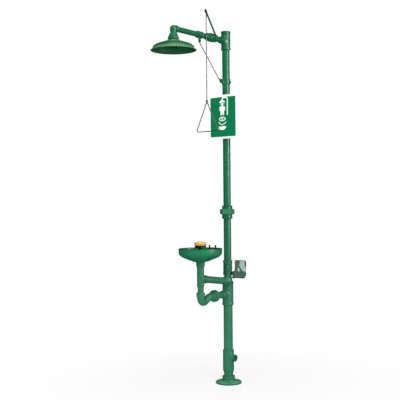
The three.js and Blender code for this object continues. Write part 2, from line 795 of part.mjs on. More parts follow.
function riserTube() {
  const added = [
    aimed(rod(8, 30, SMALL_ROUND), columnToValve.toArray()),
    ball(8, SMALL_ROUND),
    rod(8, SPRAY_Z - PORT_Z, SMALL_ROUND),
  ];
  const removed = [
    aimed(rod(6, 40, SMALL_ROUND), columnToValve.toArray()),
    rod(6, 240, SMALL_ROUND),
  ];
  return mesh("riser_tube", carve(added, removed), STEEL, [0, 0, PORT_Z]);
}

function eyewashSupplyPipe() {
  const start = columnToValve.clone().setLength(PORT_SOCKET + GAP);
  const length = columnToValve.length() - PORT_SOCKET - 27 - 2 * GAP;
  const pipe = aimed(tube(EYE_PIPE_R, EYE_PIPE_BORE, length), columnToValve.toArray());
  return mesh("eyewash_supply_pipe", pipe, GREEN, [start.x, start.y, PORT_Z + start.z]);
}

const POST_X = 24.5;
const POST_Y = 130; // behind the bowl's centre

function bowl() {
  const floor = -90;
  const shell = turned([
    [17, floor], [25.5, floor], [48, floor + 5], [88, floor + 20], [123, floor + 35],
    [139, floor + 52], [142.5, floor + 66], [BOWL_RIM_R, -3], [BOWL_RIM_R, 0],
    [139, 0], [138.5, floor + 67], [135.5, floor + 54], [120.5, floor + 38],
    [86.5, floor + 24], [47, floor + 9], [30, floor + 4], [17, floor + 4],
  ], WIDE_ROUND);
  const holes = [-POST_X, POST_X].map((x) => rod(4.9, 60, SMALL_ROUND).translate(x, POST_Y, -70));
  return mesh("bowl", carve([shell], holes), BOWL_GREEN, [0, 0, BOWL_RIM_Z]);
}

function bowlStrainer() {
  const flangeBottom = BOWL_RIM_Z - 86 + GAP;
  const body = turned([
    [8.3, -18], [16.7, -18], [16.7, 0], [28, 0], [28, 3], [8.3, 3],
  ]);
  const holes = [];
  for (let angle = 0; angle < 360; angle += 60) {
    holes.push(
      rod(2.8, 40, WIRE_ROUND).translate(
        12.3 * Math.cos(radians(angle)), 12.3 * Math.sin(radians(angle)), -25,
      ),
    );
  }
  return mesh("bowl_strainer", carve([body], holes), STEEL, [0, 0, flangeBottom]);
}

const HINGE_Y = 42; // the cover's hinge, behind the spray head's centre

function sprayBase() {
  const body = turned([
    [8.3, -10], [13, -10], [13, -2], [36, 0], [36, 14], [34, 16], [0, 16], [0, 6], [8.3, 6],
  ]);
  const lugs = [[-12, -7], [7, 12]].map(([from, to]) => box([from, 32, 6], [to, HINGE_Y + 5, 20]));
  const pinHole = aimed(rod(2.8, 40, 12), RIGHT, [-20, HINGE_Y, 16]);
  const jets = [0, 60, 120, 180, 240, 300].map((angle) =>
    rod(1.6, 30, WIRE_ROUND).translate(
      5 * Math.cos(radians(angle)), 5 * Math.sin(radians(angle)), 0,
    ),
  );
  return mesh("spray_base", carve([body, ...lugs], [pinHole, ...jets]), BLACK, [0, 0, SPRAY_Z]);
}

function sprayCover() {
  const dome = turned([
    [38.5, 16 + GAP], [38.5, 27], [34, 36], [22, 40], [0, 40],
    [0, 37], [21, 37], [32, 33.5], [35.5, 26], [35.5, 16 + GAP],
  ]);
  const arm = box([-5, 34, 17], [5, HINGE_Y, 22]);
  const knuckle = aimed(rod(4.5, 10, 12), RIGHT, [-5, HINGE_Y, 16]);
  const pin = aimed(rod(2.3, 22, 12), RIGHT, [-11, HINGE_Y, 16]);
  const room = box([-13, 30, 10], [-6.5, HINGE_Y + 8, 20.5]);
  const otherRoom = box([6.5, 30, 10], [13, HINGE_Y + 8, 20.5]);
  return mesh(
    "spray_cover",
    carve([carve([dome], [room, otherRoom]), arm, knuckle, pin]),
    YELLOW,
    [0, 0, SPRAY_Z],
  );
}

function rimPost(name, x) {
  const post = turned([
    [0, 0], [4.6, 0], [4.6, 55], [5.6, 56], [5.6, 62], [4, 64], [0, 64],
  ], 12);
  return mesh(name, post, BLACK, [x, POST_Y, BOWL_RIM_Z - 47]);
}

function slipNut() {
  const nut = turned([
    [25, 616], [28.5, 616], [28.5, 642], [20 + GAP, 642], [20 + GAP, 634], [25, 634],
  ]);
  return mesh("slip_nut", nut, GREEN);
}

function trap() {
  const bore = 21.5;
  const nutReach = 148; // middle of the union nut, from the stanchion
  const bend = roundedPath(
    [
      [0, -COLUMN_REACH, 632], [0, -COLUMN_REACH, 556],
      [0, -205, DRAIN_Z], [0, -nutReach - 14, DRAIN_Z],
    ],
    30, 5,
  );
  const hub = aimed(tube(34, 22.8, 20), FRONT, [0, -nutReach + 4, DRAIN_Z]);
  const bridge = aimed(tube(34, bore, 6), FRONT, [0, -nutReach - 10, DRAIN_Z]);
  const hubRoom = aimed(rod(22.8, 14), FRONT, [0, -nutReach + 5, DRAIN_Z]);
  const nut = turned([
    [22.8, 0], [36, 0], [40, 4], [40, 24], [38, 26], [34.3, 26], [34.3, 8], [22.8, 8],
  ]);
  return group([
    mesh("trap_bend", carve([swept(bend, 24, 12, bore), hub, bridge], [hubRoom]), GREEN),
    mesh("trap_union_nut", aimed(nut, FRONT), GREEN, [0, -nutReach + 13, DRAIN_Z]),
    mesh("trap_arm", aimed(tube(22.5, 18, 109), FRONT), GREEN, [
      0, -TRAP_ARM_START - GAP, DRAIN_Z,
    ]),
  ]);
}

function eyewash() {
  const column = group(
    [
      columnBody(),
      riserTube(),
      eyewashSupplyPipe(),
      bowl(),
      bowlStrainer(),
      sprayBase(),
      sprayCover(),
      rimPost("rim_post_left", -POST_X),
      rimPost("rim_post_right", POST_X),
      slipNut(),
    ],
    [0, -COLUMN_REACH, 0],
  );
  return group([eyewashValve(), column, trap()]);
}

// ---------------------------------------------------------------- the whole station

export default group([
  stanchion(),
  showerArm(),
  showerHead(),
  pullLine(),
  braceParts(),
  signParts(),
  eyewash(),
]);
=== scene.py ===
"""The looks of a floor-standing emergency shower with an eyewash bowl.

Shapes are made in millimetres in the part's own frame: +Z up, the origin under the floor
flange's centre, the shower arm and the bowl along -Y, and +X to the right of someone facing +Y.
"""

import math

import bmesh
import bpy
import numpy as np
from mathutils import Matrix, Vector


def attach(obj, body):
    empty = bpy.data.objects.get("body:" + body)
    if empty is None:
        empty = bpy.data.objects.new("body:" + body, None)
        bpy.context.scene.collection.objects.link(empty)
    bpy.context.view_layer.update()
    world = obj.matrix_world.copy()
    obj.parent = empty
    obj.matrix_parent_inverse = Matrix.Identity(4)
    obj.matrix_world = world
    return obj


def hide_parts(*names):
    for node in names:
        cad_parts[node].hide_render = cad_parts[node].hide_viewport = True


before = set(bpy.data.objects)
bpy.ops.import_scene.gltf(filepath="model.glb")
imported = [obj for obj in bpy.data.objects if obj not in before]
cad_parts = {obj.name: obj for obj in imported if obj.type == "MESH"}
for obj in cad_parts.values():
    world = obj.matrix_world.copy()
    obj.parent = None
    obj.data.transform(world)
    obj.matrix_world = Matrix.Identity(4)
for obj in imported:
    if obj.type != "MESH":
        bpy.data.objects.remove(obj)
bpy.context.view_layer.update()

MM = 0.001
GAP = 0.3  # between a piece and the piece that it fits into

# ---------------------------------------------------------------- sizes shared by several pieces

ARM_Z = 2331
ARM_R = 17.5
HEAD_Y = -546
RIM_Z = 2192
WASTE_R = 31
SUPPLY_R = 25.5
TRAP_R = 22.5
WASTE_BORE = 25
SUPPLY_BORE = 20.5
ARM_BORE = 13.3

# the bores that hold a pipe's end
WASTE_ROOM = WASTE_R + GAP
SUPPLY_ROOM = SUPPLY_R + GAP
ARM_ROOM = ARM_R + GAP
TRAP_ROOM = TRAP_R + GAP

UNION_Z = 1165
VALVE = Vector((42, -50, 754.3))
ELBOW_Z = 699.5
PORT_Z = 733
EYE_PIPE_R = 23
COLUMN_Y = -295
BOWL_Z = 932
SPRAY_Z = 936
DRAIN_Z = 607
BRANCH_Z = 795
TOP_LOW = 2270
TOP_HIGH = 2396
LUG = Vector((0, -285, ARM_Z - 38))
POST_X = 24.5
POST_Y = 130
LEVER_PIVOT = Vector((0, -164, ARM_Z))
LEVER_X = 45
LEVER_ANGLE = math.radians(54)
ROD_X = 38.75
ROD_HOLE = LEVER_PIVOT + 165 * Vector((0, -math.cos(LEVER_ANGLE), math.sin(LEVER_ANGLE)))
SIGN_CENTRE = Vector((2, -40, 1812))

RIGHT = Vector((1, 0, 0))
FRONT = Vector((0, -1, 0))
BACK = Vector((0, 1, 0))
UP = Vector((0, 0, 1))
DOWN = Vector((0, 0, -1))
ORIGIN = Vector((0, 0, 0))
TO_BRANCH = Vector((VALVE.x, VALVE.y, 0)).normalized()
TO_COLUMN = Vector((-VALVE.x, COLUMN_Y - VALVE.y, PORT_Z - ELBOW_Z)).normalized()


# ---------------------------------------------------------------- materials


class Paint:
    """A procedural material under construction. Coordinates are the part's own, in metres."""

    def __init__(self, name, roughness, metallic=0.0, coat=0.0):
        self.material = bpy.data.materials.new(name)
        self.material.use_nodes = True
        self.tree = self.material.node_tree
        self.shader = self.tree.nodes["Principled BSDF"]
        self.shader.inputs["Metallic"].default_value = metallic
        self.shader.inputs["Coat Weight"].default_value = coat
        self.shader.inputs["Coat Roughness"].default_value = 0.25
        self.shader.inputs["Specular IOR Level"].default_value = 0.5 if metallic else 0.35
        self.coordinates = self.tree.nodes.new("ShaderNodeTexCoord").outputs["Object"]
        self.roughness = roughness
        self.bump_height = None

    def node(self, kind, **settings):
        made = self.tree.nodes.new(kind)
        for key, value in settings.items():
            setattr(made, key, value)
        return made

    def link(self, source, target):
        self.tree.links.new(source, target)

    def stretched(self, scale):
        """The coordinates scaled by a vector, for grain that runs one way."""
        mapping = self.node("ShaderNodeMapping")
        mapping.inputs["Scale"].default_value = scale
        self.link(self.coordinates, mapping.inputs["Vector"])
        return mapping.outputs["Vector"]

    def noise(self, scale, detail=3.0, vector=None):
        made = self.node("ShaderNodeTexNoise")
        made.inputs["Scale"].default_value = scale
        made.inputs["Detail"].default_value = detail
        self.link(vector or self.coordinates, made.inputs["Vector"])
        return made.outputs["Fac"]

    def spread(self, value, low, high, to_low=0.0, to_high=1.0):
        made = self.node("ShaderNodeMapRange")
        made.inputs["From Min"].default_value = low
        made.inputs["From Max"].default_value = high
        made.inputs["To Min"].default_value = to_low
        made.inputs["To Max"].default_value = to_high
        self.link(value, made.inputs["Value"])
        return made.outputs["Result"]

    def mix(self, factor, a, b):
        """A colour between a and b, each a colour or a socket."""
        made = self.node("ShaderNodeMix", data_type="RGBA")
        self.link(factor, made.inputs["Factor"])
        for socket, value in (("A", a), ("B", b)):
            target = [i for i in made.inputs if i.name == socket and i.type == "RGBA"][0]
            if isinstance(value, bpy.types.NodeSocket):
                self.link(value, target)
            else:
                target.default_value = value
        return [o for o in made.outputs if o.type == "RGBA"][0]

    def attribute(self, name):
        return self.node("ShaderNodeAttribute", attribute_name=name).outputs["Fac"]

    def toned(self, colour, other, sign=1):
        """The colour, turning to the other one as the tone goes from 0 to 1, or to -1."""
        return self.mix(self.spread(self.attribute("tone"), 0, sign), colour, other)

    def height(self):
        split = self.node("ShaderNodeSeparateXYZ")
        self.link(self.coordinates, split.inputs["Vector"])
        return split.outputs["Z"]

    def pointiness(self):
        return self.node("ShaderNodeNewGeometry").outputs["Pointiness"]

    def bump(self, value, distance, strength=1.0):
        made = self.node("ShaderNodeBump")
        made.inputs["Distance"].default_value = distance
        made.inputs["Strength"].default_value = strength
        self.link(value, made.inputs["Height"])
        if self.bump_height is not None:
            self.link(self.bump_height, made.inputs["Normal"])
        self.bump_height = made.outputs["Normal"]

    def done(self, colour, roughness_noise, sway=0.1):
        self.link(colour, self.shader.inputs["Base Color"])
        low, high = self.roughness - sway, self.roughness + sway
        self.link(
            self.spread(roughness_noise, 0.3, 0.7, low, high), self.shader.inputs["Roughness"]
        )
        if self.bump_height is not None:
            self.link(self.bump_height, self.shader.inputs["Normal"])
        return self.material


def srgb(red, green, blue):
    """A linear colour from sRGB values out of 255."""

    def linear(value):
        value /= 255
        return value / 12.92 if value <= 0.04045 else ((value + 0.055) / 1.055) ** 2.4

    return (linear(red), linear(green), linear(blue), 1)


def coated(name, high, low, edge, roughness):
    """Powder coat: orange peel, slow drifts of tone, thin spots along edges and dull dust.

    high and low are its colours at the top and at the foot: painted light, as the top and the foot catch the
    light differently.
    """
    paint = Paint(name, roughness, coat=0.06)
    drift = paint.spread(paint.noise(5, 4), 0.35, 0.65)
    # painted light: the colour turns from the foot's lighter one to the top's with height
    fade = paint.spread(paint.height(), 0.62, 1.05)
    base = paint.mix(fade, low, high)
    mottled = paint.mix(drift, base, paint.mix(fade, darker(low), darker(high)))
    specks = paint.spread(paint.noise(260, 2), 0.62, 0.75, 0.0, 0.22)
    dusty = paint.mix(specks, mottled, edge)
    worn = paint.spread(paint.pointiness(), 0.53, 0.6, 0.0, 0.5)
    edged = paint.mix(worn, dusty, edge)
    # a positive tone paints the edge colour on as a painted highlight, on the flange's top face
    toned = paint.toned(edged, edge)
    paint.bump(paint.noise(900, 2), 0.00012, 0.35)
    paint.bump(paint.noise(60, 3), 0.0006, 0.25)
    return paint.done(toned, paint.noise(35, 4), 0.08)


def darker(colour, share=0.8):
    return tuple(value * share for value in colour[:3]) + (1,)


def moulded(name, colour, edge, shade, roughness):
    """Moulded plastic: faint flow marks and a fine texture. tone paints light and shade: a painted highlight
    toward the edge colour, painted shade toward the shade colour.
    """
    paint = Paint(name, roughness, coat=0.06)
    flow = paint.spread(paint.noise(2.5, 5, paint.stretched((9, 9, 30))), 0.35, 0.65)
    base = paint.mix(flow, colour, darker(colour, 0.78))
    worn = paint.spread(paint.pointiness(), 0.52, 0.58, 0.0, 0.45)
    edged = paint.mix(worn, base, edge)
    # tone above 0 paints a highlight in the edge colour, and below 0 paints shade in the shade colour
    lit_and_shaded = paint.toned(paint.toned(edged, edge), shade, -1)
    paint.bump(paint.noise(1400, 2), 0.00006, 0.4)
    paint.bump(paint.noise(30, 3), 0.0008, 0.15)
    return paint.done(lit_and_shaded, paint.noise(50, 4), 0.09)


def brushed(name, colour, grain, roughness, metallic=0.85):
    """Bare metal with a drawn or brushed grain, finger marks and faint stains. tone paints a pale painted
    reflection above 0 and painted shade below 0.
    """
    paint = Paint(name, roughness, metallic)
    lines = paint.noise(1, 4, paint.stretched(grain))
    streaks = paint.spread(lines, 0.3, 0.7)
    base = paint.mix(streaks, darker(colour, 0.75), colour)
    marks = paint.spread(paint.noise(45, 4), 0.5, 0.72, 0, 0.5)
    marked = paint.mix(marks, base, darker(colour, 0.55))
    # tone above 0 paints a pale reflection on, and below 0 paints shade on
    painted_reflection = paint.toned(marked, srgb(214, 230, 220))
    painted_shade = paint.toned(painted_reflection, darker(colour, 0.18), -1)
    paint.bump(lines, 0.00005, 0.5)
    return paint.done(painted_shade, paint.noise(30, 4), 0.1)


def printed(name, colour):
    """A printed vinyl or enamel face: nearly even, with faint wear and dust."""
    paint = Paint(name, 0.45)
    paint.shader.inputs["Specular IOR Level"].default_value = 0.15
    wear = paint.spread(paint.noise(28, 5), 0.4, 0.75, 0, 0.25)
    fine = paint.spread(paint.noise(700, 2), 0.4, 0.6, 0, 0.1)
    base = paint.mix(wear, colour, darker(colour, 0.88))
    paint.bump(paint.noise(900, 2), 0.00003, 0.3)
    return paint.done(paint.mix(fine, base, darker(colour, 0.94)), paint.noise(60, 3), 0.06)


# GREEN's foot colour, lighter and greyer than its top colour, is painted light
GREEN = coated("coated_green", srgb(2, 100, 63), srgb(46, 121, 87), srgb(84, 156, 122), 0.36)
# HEAD_GREEN's edge colour is also the bell's painted highlight, and its shade colour the painted shade
# inside the bell
HEAD_GREEN = moulded("head_green", srgb(4, 100, 60), srgb(132, 156, 112), srgb(0, 84, 50), 0.38)
# BOWL_GREEN's shade colour is the painted shadow on the rim and the painted shade inside the bowl
BOWL_GREEN = moulded("bowl_green", srgb(20, 120, 80), srgb(62, 130, 100), srgb(8, 84, 54), 0.4)
LEVER_GREEN = coated("lever_green", srgb(2, 60, 36), srgb(4, 56, 34), srgb(60, 128, 96), 0.45)
STEEL = brushed("drawn_steel", srgb(116, 120, 116), (900, 900, 30), 0.4)
# FLAG_STEEL's tone colours are the flag's painted reflections and painted shade
FLAG_STEEL = brushed("flag_steel", srgb(98, 134, 112), (40, 900, 900), 0.4, metallic=0.3)
DARK_STEEL = brushed("dark_steel", srgb(72, 76, 74), (700, 700, 60), 0.45)
BLACK = moulded("black_moulded", srgb(16, 20, 17), srgb(58, 66, 60), srgb(4, 5, 4), 0.5)
# YELLOW's shade colour is the painted shade on the cover's skirt, and its edge colour also the painted
# highlight on its top
YELLOW = moulded("cover_yellow", srgb(240, 170, 84), srgb(250, 200, 130), srgb(164, 150, 58), 0.42)
SEAL = moulded("seal_white", srgb(226, 222, 210), srgb(240, 238, 230), srgb(150, 146, 136), 0.55)
SIGN_GREEN = printed("sign_green", srgb(0, 116, 70))
SIGN_WHITE = printed("sign_white", srgb(252, 254, 252))


# ---------------------------------------------------------------- distance shapes for castings


def union_of(a, b, blend):
    """The nearer of two distances, with a fillet of about that radius where they meet."""
    share = np.clip(0.5 + 0.5 * (b - a) / blend, 0, 1)
    return b * (1 - share) + a * share - blend * share * (1 - share)


def without(a, b, blend=1.2):
    return -union_of(-a, b, blend)


def drilled(p, solid, holes):
    """The solid with round holes, each (start, axis, radius, length, edge) and a blend if not the usual."""
    for start, axis, radius, length, edge, *blend in holes:
        solid = without(solid, bar(p, start, axis, radius, length, edge), *blend)
    return solid


def both(a, b, blend=1.2):
    return -union_of(-a, -b, blend)


def inset(outline, depth):
    """The outline moved inwards by a depth, so that rounding it back keeps its size."""
    points = [Vector(p) for p in outline]
    area = sum(a.cross(b) for a, b in zip(points, points[1:] + points[:1]))
    if area < 0:
        points.reverse()
    count = len(points)
    made = []
    for i in range(count):
        before = (points[i] - points[i - 1]).normalized()
        after = (points[(i + 1) % count] - points[i]).normalized()
        normal_before = Vector((-before.y, before.x))
        normal_after = Vector((-after.y, after.x))
        bisector = normal_before + normal_after
        made.append(points[i] + bisector * (depth / max(1e-6, bisector.dot(normal_before))))
    return made


def polygon(x, y, outline):
    """Signed distance to a closed outline in a plane."""
    best = np.full(x.shape, 1e18)
    sign = np.ones(x.shape)
    for a, b in zip(outline, outline[1:] + outline[:1]):
        ex, ey = b[0] - a[0], b[1] - a[1]
        wx, wy = x - a[0], y - a[1]
        t = np.clip((wx * ex + wy * ey) / (ex * ex + ey * ey), 0, 1)
        best = np.minimum(best, (wx - ex * t) ** 2 + (wy - ey * t) ** 2)
        above, below = y >= a[1], y < b[1]
        left = ex * wy > ey * wx
        flip = (above & below & left) | (~above & ~below & ~left)
        sign = np.where(flip, -sign, sign)
    return sign * np.sqrt(best)


def along_and_off(p, start, axis):
    """How far points lie along an axis, and their offsets from it."""
    q = p - np.array(start, float)
    along = q @ np.array(axis, float)
    return along, q - along[..., None] * np.array(axis, float)


def spun(p, start, axis, outline, edge=1.5):
    """A solid turned about an axis. The outline's points are [radius, distance along the axis]."""
    along, off = along_and_off(p, start, Vector(axis).normalized())
    radial = np.linalg.norm(off, axis=-1)
    mirrored = [(r, z) for r, z in outline if r > 0]
    low, high = outline[0][1], outline[-1][1]
    closed = [(-60, low)] + mirrored + [(-60, high)]
    return polygon(radial, along, inset(closed, edge)) - edge


def bar(p, start, axis, radius, length, edge=1.0):
    return spun(p, start, axis, [(0, 0), (radius, 0), (radius, length), (0, length)], edge)


def socket(p, start, axis, neck, rim, edge):
    """A branch with a thicker mouth: neck is (radius, length), rim is (radius, start, end)."""
    (radius, length), (rim_radius, rim_start, end) = neck, rim
    outline = [
        (0, 0), (radius, 0), (radius, length), (rim_radius, rim_start), (rim_radius, end), (0, end),
    ]
    return spun(p, start, axis, outline, edge)


def banded(p, start, axis, length, rim, band, waist, edge):
    """A short bar with a rim at each end. rim and waist are radii, band is the width of a rim."""
    step = 2
    outline = [
        (0, 0), (rim, 0), (rim, band), (waist, band + step), (waist, length - band - step),
        (rim, length - band), (rim, length), (0, length),
    ]
    return spun(p, start, axis, outline, edge)


def hexagon(p, start, axis, side, across, length, edge=1.0):
    """A six-sided bar with its corners turned off. side is a direction square to one flat."""
    axis, side = Vector(axis).normalized(), Vector(side).normalized()
    along, off = along_and_off(p, start, axis)
    worst = np.abs(along - length / 2) - length / 2
    for turn in (0, 60, 120):
        normal = Matrix.Rotation(math.radians(turn), 3, axis) @ side
        worst = both(worst, np.abs(off @ np.array(normal)) - across / 2, edge)
    corner = across / 2 * 1.13
    lens = [(0, 0), (corner - 3, 0), (corner, 3), (corner, length - 3), (corner - 3, length), (0, length)]
    return both(worst, spun(p, start, axis, lens, edge), edge)


def ball(p, centre, radius):
    return np.linalg.norm(p - np.array(centre, float), axis=-1) - radius


def slab(p, low, high, edge=1.0):
    """A block with rounded edges."""
    low, high = np.array(low, float), np.array(high, float)
    q = np.abs(p - (low + high) / 2) - ((high - low) / 2 - edge)
    outside = np.linalg.norm(np.maximum(q, 0), axis=-1)
    return outside + np.minimum(q.max(-1), 0) - edge


def surface_nets(distance, low, high, cell):
    """The surface where distance(points) is zero, as a list of points and a list of quads."""
    low = np.array(low, float) - 2 * cell
    count = np.ceil((np.array(high, float) + 2 * cell - low) / cell).astype(int) + 1
    axes = [low[i] + cell * np.arange(count[i]) for i in range(3)]
    value = distance(np.stack(np.meshgrid(*axes, indexing="ij"), -1))
    inside = value < 0
    cells = tuple(count - 1)
    total = np.zeros(cells + (3,))
    hits = np.zeros(cells)
    for axis in range(3):
        others = [i for i in range(3) if i != axis]
        for step in range(4):
            start = [0, 0, 0]
            start[others[0]], start[others[1]] = step & 1, step >> 1
            end = list(start)
            end[axis] += 1
            first = tuple(slice(s, s + c) for s, c in zip(start, cells))
            second = tuple(slice(s, s + c) for s, c in zip(end, cells))
            crossed = inside[first] != inside[second]
            a, b = value[first], value[second]
            share = np.where(crossed, a / np.where(crossed, a - b, 1), 0)
            place = np.zeros(cells + (3,))
            place[..., others[0]], place[..., others[1]] = start[others[0]], start[others[1]]
            place[..., axis] = share
            total += place * crossed[..., None]
            hits += crossed
    active = hits > 0
    ids = np.full(cells, -1)
    ids[active] = np.arange(active.sum())
    corners = np.argwhere(active)
    points = low + cell * (corners + total[active] / hits[active][:, None])
    quads = []
    for axis in range(3):
        u, v = (axis + 1) % 3, (axis + 2) % 3
        here = tuple(slice(1, count[i] - 1) if i != axis else slice(0, cells[i]) for i in range(3))
        there = tuple(
            slice(1, count[i] - 1) if i != axis else slice(1, cells[i] + 1) for i in range(3)
        )
        start_in, end_in = inside[here], inside[there]
        edges = np.argwhere(start_in != end_in)
        at = edges + [0 if i == axis else 1 for i in range(3)]
        leaving = start_in[tuple(edges.T)]
        ring = []
        for du, dv in ((-1, -1), (0, -1), (0, 0), (-1, 0)):
            cell_at = at.copy()
            cell_at[:, u] += du
            cell_at[:, v] += dv
            ring.append(ids[tuple(cell_at.T)])
        ring = np.stack(ring, 1)
        quads.append(np.where(leaving[:, None], ring, ring[:, ::-1]))
    for _ in range(3):
        here = distance(points)
        slope = np.stack(
            [
                (distance(points + offset) - distance(points - offset)) / 0.2
                for offset in 0.1 * np.eye(3)
            ],
            -1,
        )
        size = np.maximum((slope**2).sum(-1), 0.2)
        move = -(here / size)[:, None] * slope
        reach = np.linalg.norm(move, axis=-1, keepdims=True)
        points = points + move * np.minimum(1, 0.4 * cell / np.maximum(reach, 1e-9))
    return points.tolist(), np.concatenate(quads).tolist()


# ---------------------------------------------------------------- meshes


class Shape:
    """Points and faces in millimetres, with a tone per point that the materials read."""

    def __init__(self, points, faces, tones=None):
        self.points = [Vector(p) for p in points]
        self.faces = [list(f) for f in faces]
        self.tones = list(tones) if tones else [0.0] * len(self.points)

    def __add__(self, other):
        shift = len(self.points)
        faces = self.faces + [[i + shift for i in f] for f in other.faces]
        return Shape(self.points + other.points, faces, self.tones + other.tones)

    def placed(self, matrix):
        return Shape([matrix @ p for p in self.points], self.faces, self.tones)

    def aimed(self, direction, at=ORIGIN):
        """A shape made along +Z, turned to point along a direction and then moved."""
        turn = UP.rotation_difference(Vector(direction)).to_matrix().to_4x4()
        return self.placed(Matrix.Translation(at) @ turn)

    def moved(self, by):
        return self.placed(Matrix.Translation(by))


def filleted(outline, steps=4):
    """An outline whose points are (radius, height) or (radius, height, fillet), made of plain points."""
    made = []
    for i, point in enumerate(outline):
        if len(point) < 3 or i in (0, len(outline) - 1):
            made.append((point[0], point[1]))
            continue
        here = Vector(point[:2])
        before = Vector(outline[i - 1][:2]) - here
        after = Vector(outline[i + 1][:2]) - here
        reach = min(point[2], before.length * 0.48, after.length * 0.48)
        a, b = here + before.normalized() * reach, here + after.normalized() * reach
        for k in range(steps + 1):
            t = k / steps
            curve = a * (1 - t) ** 2 + here * 2 * t * (1 - t) + b * t * t
            made.append((curve.x, curve.y))
    return made


def lathe(outline, sides=64, ripple=None, tone=None):
    """A solid of revolution about Z, with a ring's hole where its outline starts off the axis.

    ripple(angle, radius, height) gives a new radius, and tone(radius, height) a tone.
    """
    outline = filleted(outline)
    closed = outline[0][0] > 1e-6
    points, tones, rings = [], [], []
    for r, z in outline:
        level = tone(r, z) if tone else 0.0
        if r < 1e-6:
            rings.append([len(points)])
            points.append((0, 0, z))
            tones.append(level)
            continue
        rings.append(list(range(len(points), len(points) + sides)))
        for k in range(sides):
            angle = 2 * math.pi * k / sides
            radius = ripple(angle, r, z) if ripple else r
            points.append((radius * math.cos(angle), radius * math.sin(angle), z))
            tones.append(level)
    faces = []
    pairs = list(zip(rings, rings[1:])) + ([(rings[-1], rings[0])] if closed else [])
    for low, high in pairs:
        for k in range(sides):
            n = (k + 1) % sides
            if len(low) == 1 and len(high) == 1:
                continue
            if len(low) == 1:
                faces.append([low[0], high[n], high[k]])
            elif len(high) == 1:
                faces.append([low[k], low[n], high[0]])
            else:
                faces.append([low[k], low[n], high[n], high[k]])
    return Shape(points, faces, tones)


def rod(radius, low, high, sides=64):
    return lathe([(0, low), (radius, low), (radius, high), (0, high)], sides)


def hex_nut(across, height, bore, chamfer=1.0, sides=72):
    """A six-sided nut along Z with turned corners. Its flats face +X, as the CAD's do."""

    def corner(angle):
        off = (math.degrees(angle) + 30) % 60 - 30
        return across / 2 / math.cos(math.radians(off))

    face = across / 2 * 0.97
    rings = [
        (bore + 0.6, 0, 0), (face, 0, 0), (None, 0, 1), (None, height, -1),
        (face, height, 0), (bore + 0.6, height, 0), (bore, height - 0.6, 0), (bore, 0.6, 0),
    ]
    points, faces = [], []
    for r, z, drop in rings:
        for k in range(sides):
            angle = 2 * math.pi * k / sides
            radius = corner(angle) if r is None else r
            level = z + drop * (radius - face) * 0.58 * chamfer
            points.append((radius * math.cos(angle), radius * math.sin(angle), level))
    for i in range(len(rings)):
        j = (i + 1) % len(rings)
        for k in range(sides):
            n = (k + 1) % sides
            faces.append([i * sides + k, i * sides + n, j * sides + n, j * sides + k])
    return Shape(points, faces)


def rounded_run(corners, bend, steps=8):
    """A path through corners with each inner corner bent to a radius."""
    points = [Vector(c) for c in corners]
    made = [points[0]]
    for before, here, after in zip(points, points[1:], points[2:]):
        arriving, leaving = (here - before).normalized(), (after - here).normalized()
        turn = arriving.angle(leaving)
        start = here - arriving * (bend * math.tan(turn / 2))
        inward = (leaving - arriving * arriving.dot(leaving)).normalized()
        for k in range(steps + 1):
            angle = turn * k / steps
            made.append(
                start + arriving * (bend * math.sin(angle)) + inward * (bend * (1 - math.cos(angle)))
            )
    return made + [points[-1]]


def swept(path, radius, sides=16, end=0.8):
    """A round bar along a path, with its ends rounded over."""
    stations = [Vector(p) for p in path]
    radii = [radius] * len(stations)
    if end:
        first = (stations[1] - stations[0]).normalized()
        last = (stations[-1] - stations[-2]).normalized()
        stations = [stations[0], stations[0] + first * end] + stations[1:-1] + [
            stations[-1] - last * end, stations[-1],
        ]
        radii = [radius - end] + [radius] * (len(stations) - 2) + [radius - end]
    tangent = (stations[1] - stations[0]).normalized()
    normal = tangent.orthogonal().normalized()
    points, faces = [], []
    for i, (station, r) in enumerate(zip(stations, radii)):
        before = stations[max(i - 1, 0)]
        after = stations[min(i + 1, len(stations) - 1)]
        turned = (after - before).normalized()
        normal = tangent.rotation_difference(turned) @ normal
        tangent = turned
        across = tangent.cross(normal)
        for k in range(sides):
            angle = 2 * math.pi * k / sides
            points.append(station + (normal * math.cos(angle) + across * math.sin(angle)) * r)
    for i in range(len(stations) - 1):
        for k in range(sides):
            n = (k + 1) % sides
            a, b = i * sides, (i + 1) * sides
            faces.append([a + k, a + n, b + n, b + k])
    faces.append(list(range(sides))[::-1])
    faces.append([len(points) - sides + k for k in range(sides)])
    return Shape(points, faces)


def slab_mesh(low, high):
    (x0, y0, z0), (x1, y1, z1) = low, high
    points = [(x, y, z) for z in (z0, z1) for y in (y0, y1) for x in (x0, x1)]
    faces = [[0, 2, 3, 1], [4, 5, 7, 6], [0, 1, 5, 4], [2, 6, 7, 3], [0, 4, 6, 2], [1, 3, 7, 5]]
    return Shape(points, faces)


def arc(x, y, radius, start, end, count=10):
    """Points along an arc, with its ends in degrees."""
    turns = [math.radians(start + (end - start) * k / count) for k in range(count + 1)]
    return [(x + radius * math.cos(t), y + radius * math.sin(t)) for t in turns]


def round_cornered(centres, radius):
    """The outline of a rectangle from the centres of its corner arcs, anticlockwise from the top right."""
    return [point for k, (x, y) in enumerate(centres) for point in arc(x, y, radius, 90 * k, 90 * k + 90, 6)]


def height_on(line, r):
    """The height at radius r on a line of (radius, height) points, or None past its ends."""
    for (r0, z0), (r1, z1) in zip(line, line[1:]):
        if r0 <= r <= r1:
            return z0 + (z1 - z0) * (r - r0) / (r1 - r0)
    return None


def extruded(outline, depth):
    """A flat outline in X and Y, given thickness along Z."""
    count = len(outline)
    points = [(x, y, 0) for x, y in outline] + [(x, y, depth) for x, y in outline]
    faces = [list(range(count))[::-1], list(range(count, 2 * count))]
    faces += [[i, (i + 1) % count, count + (i + 1) % count, count + i] for i in range(count)]
    return Shape(points, faces)


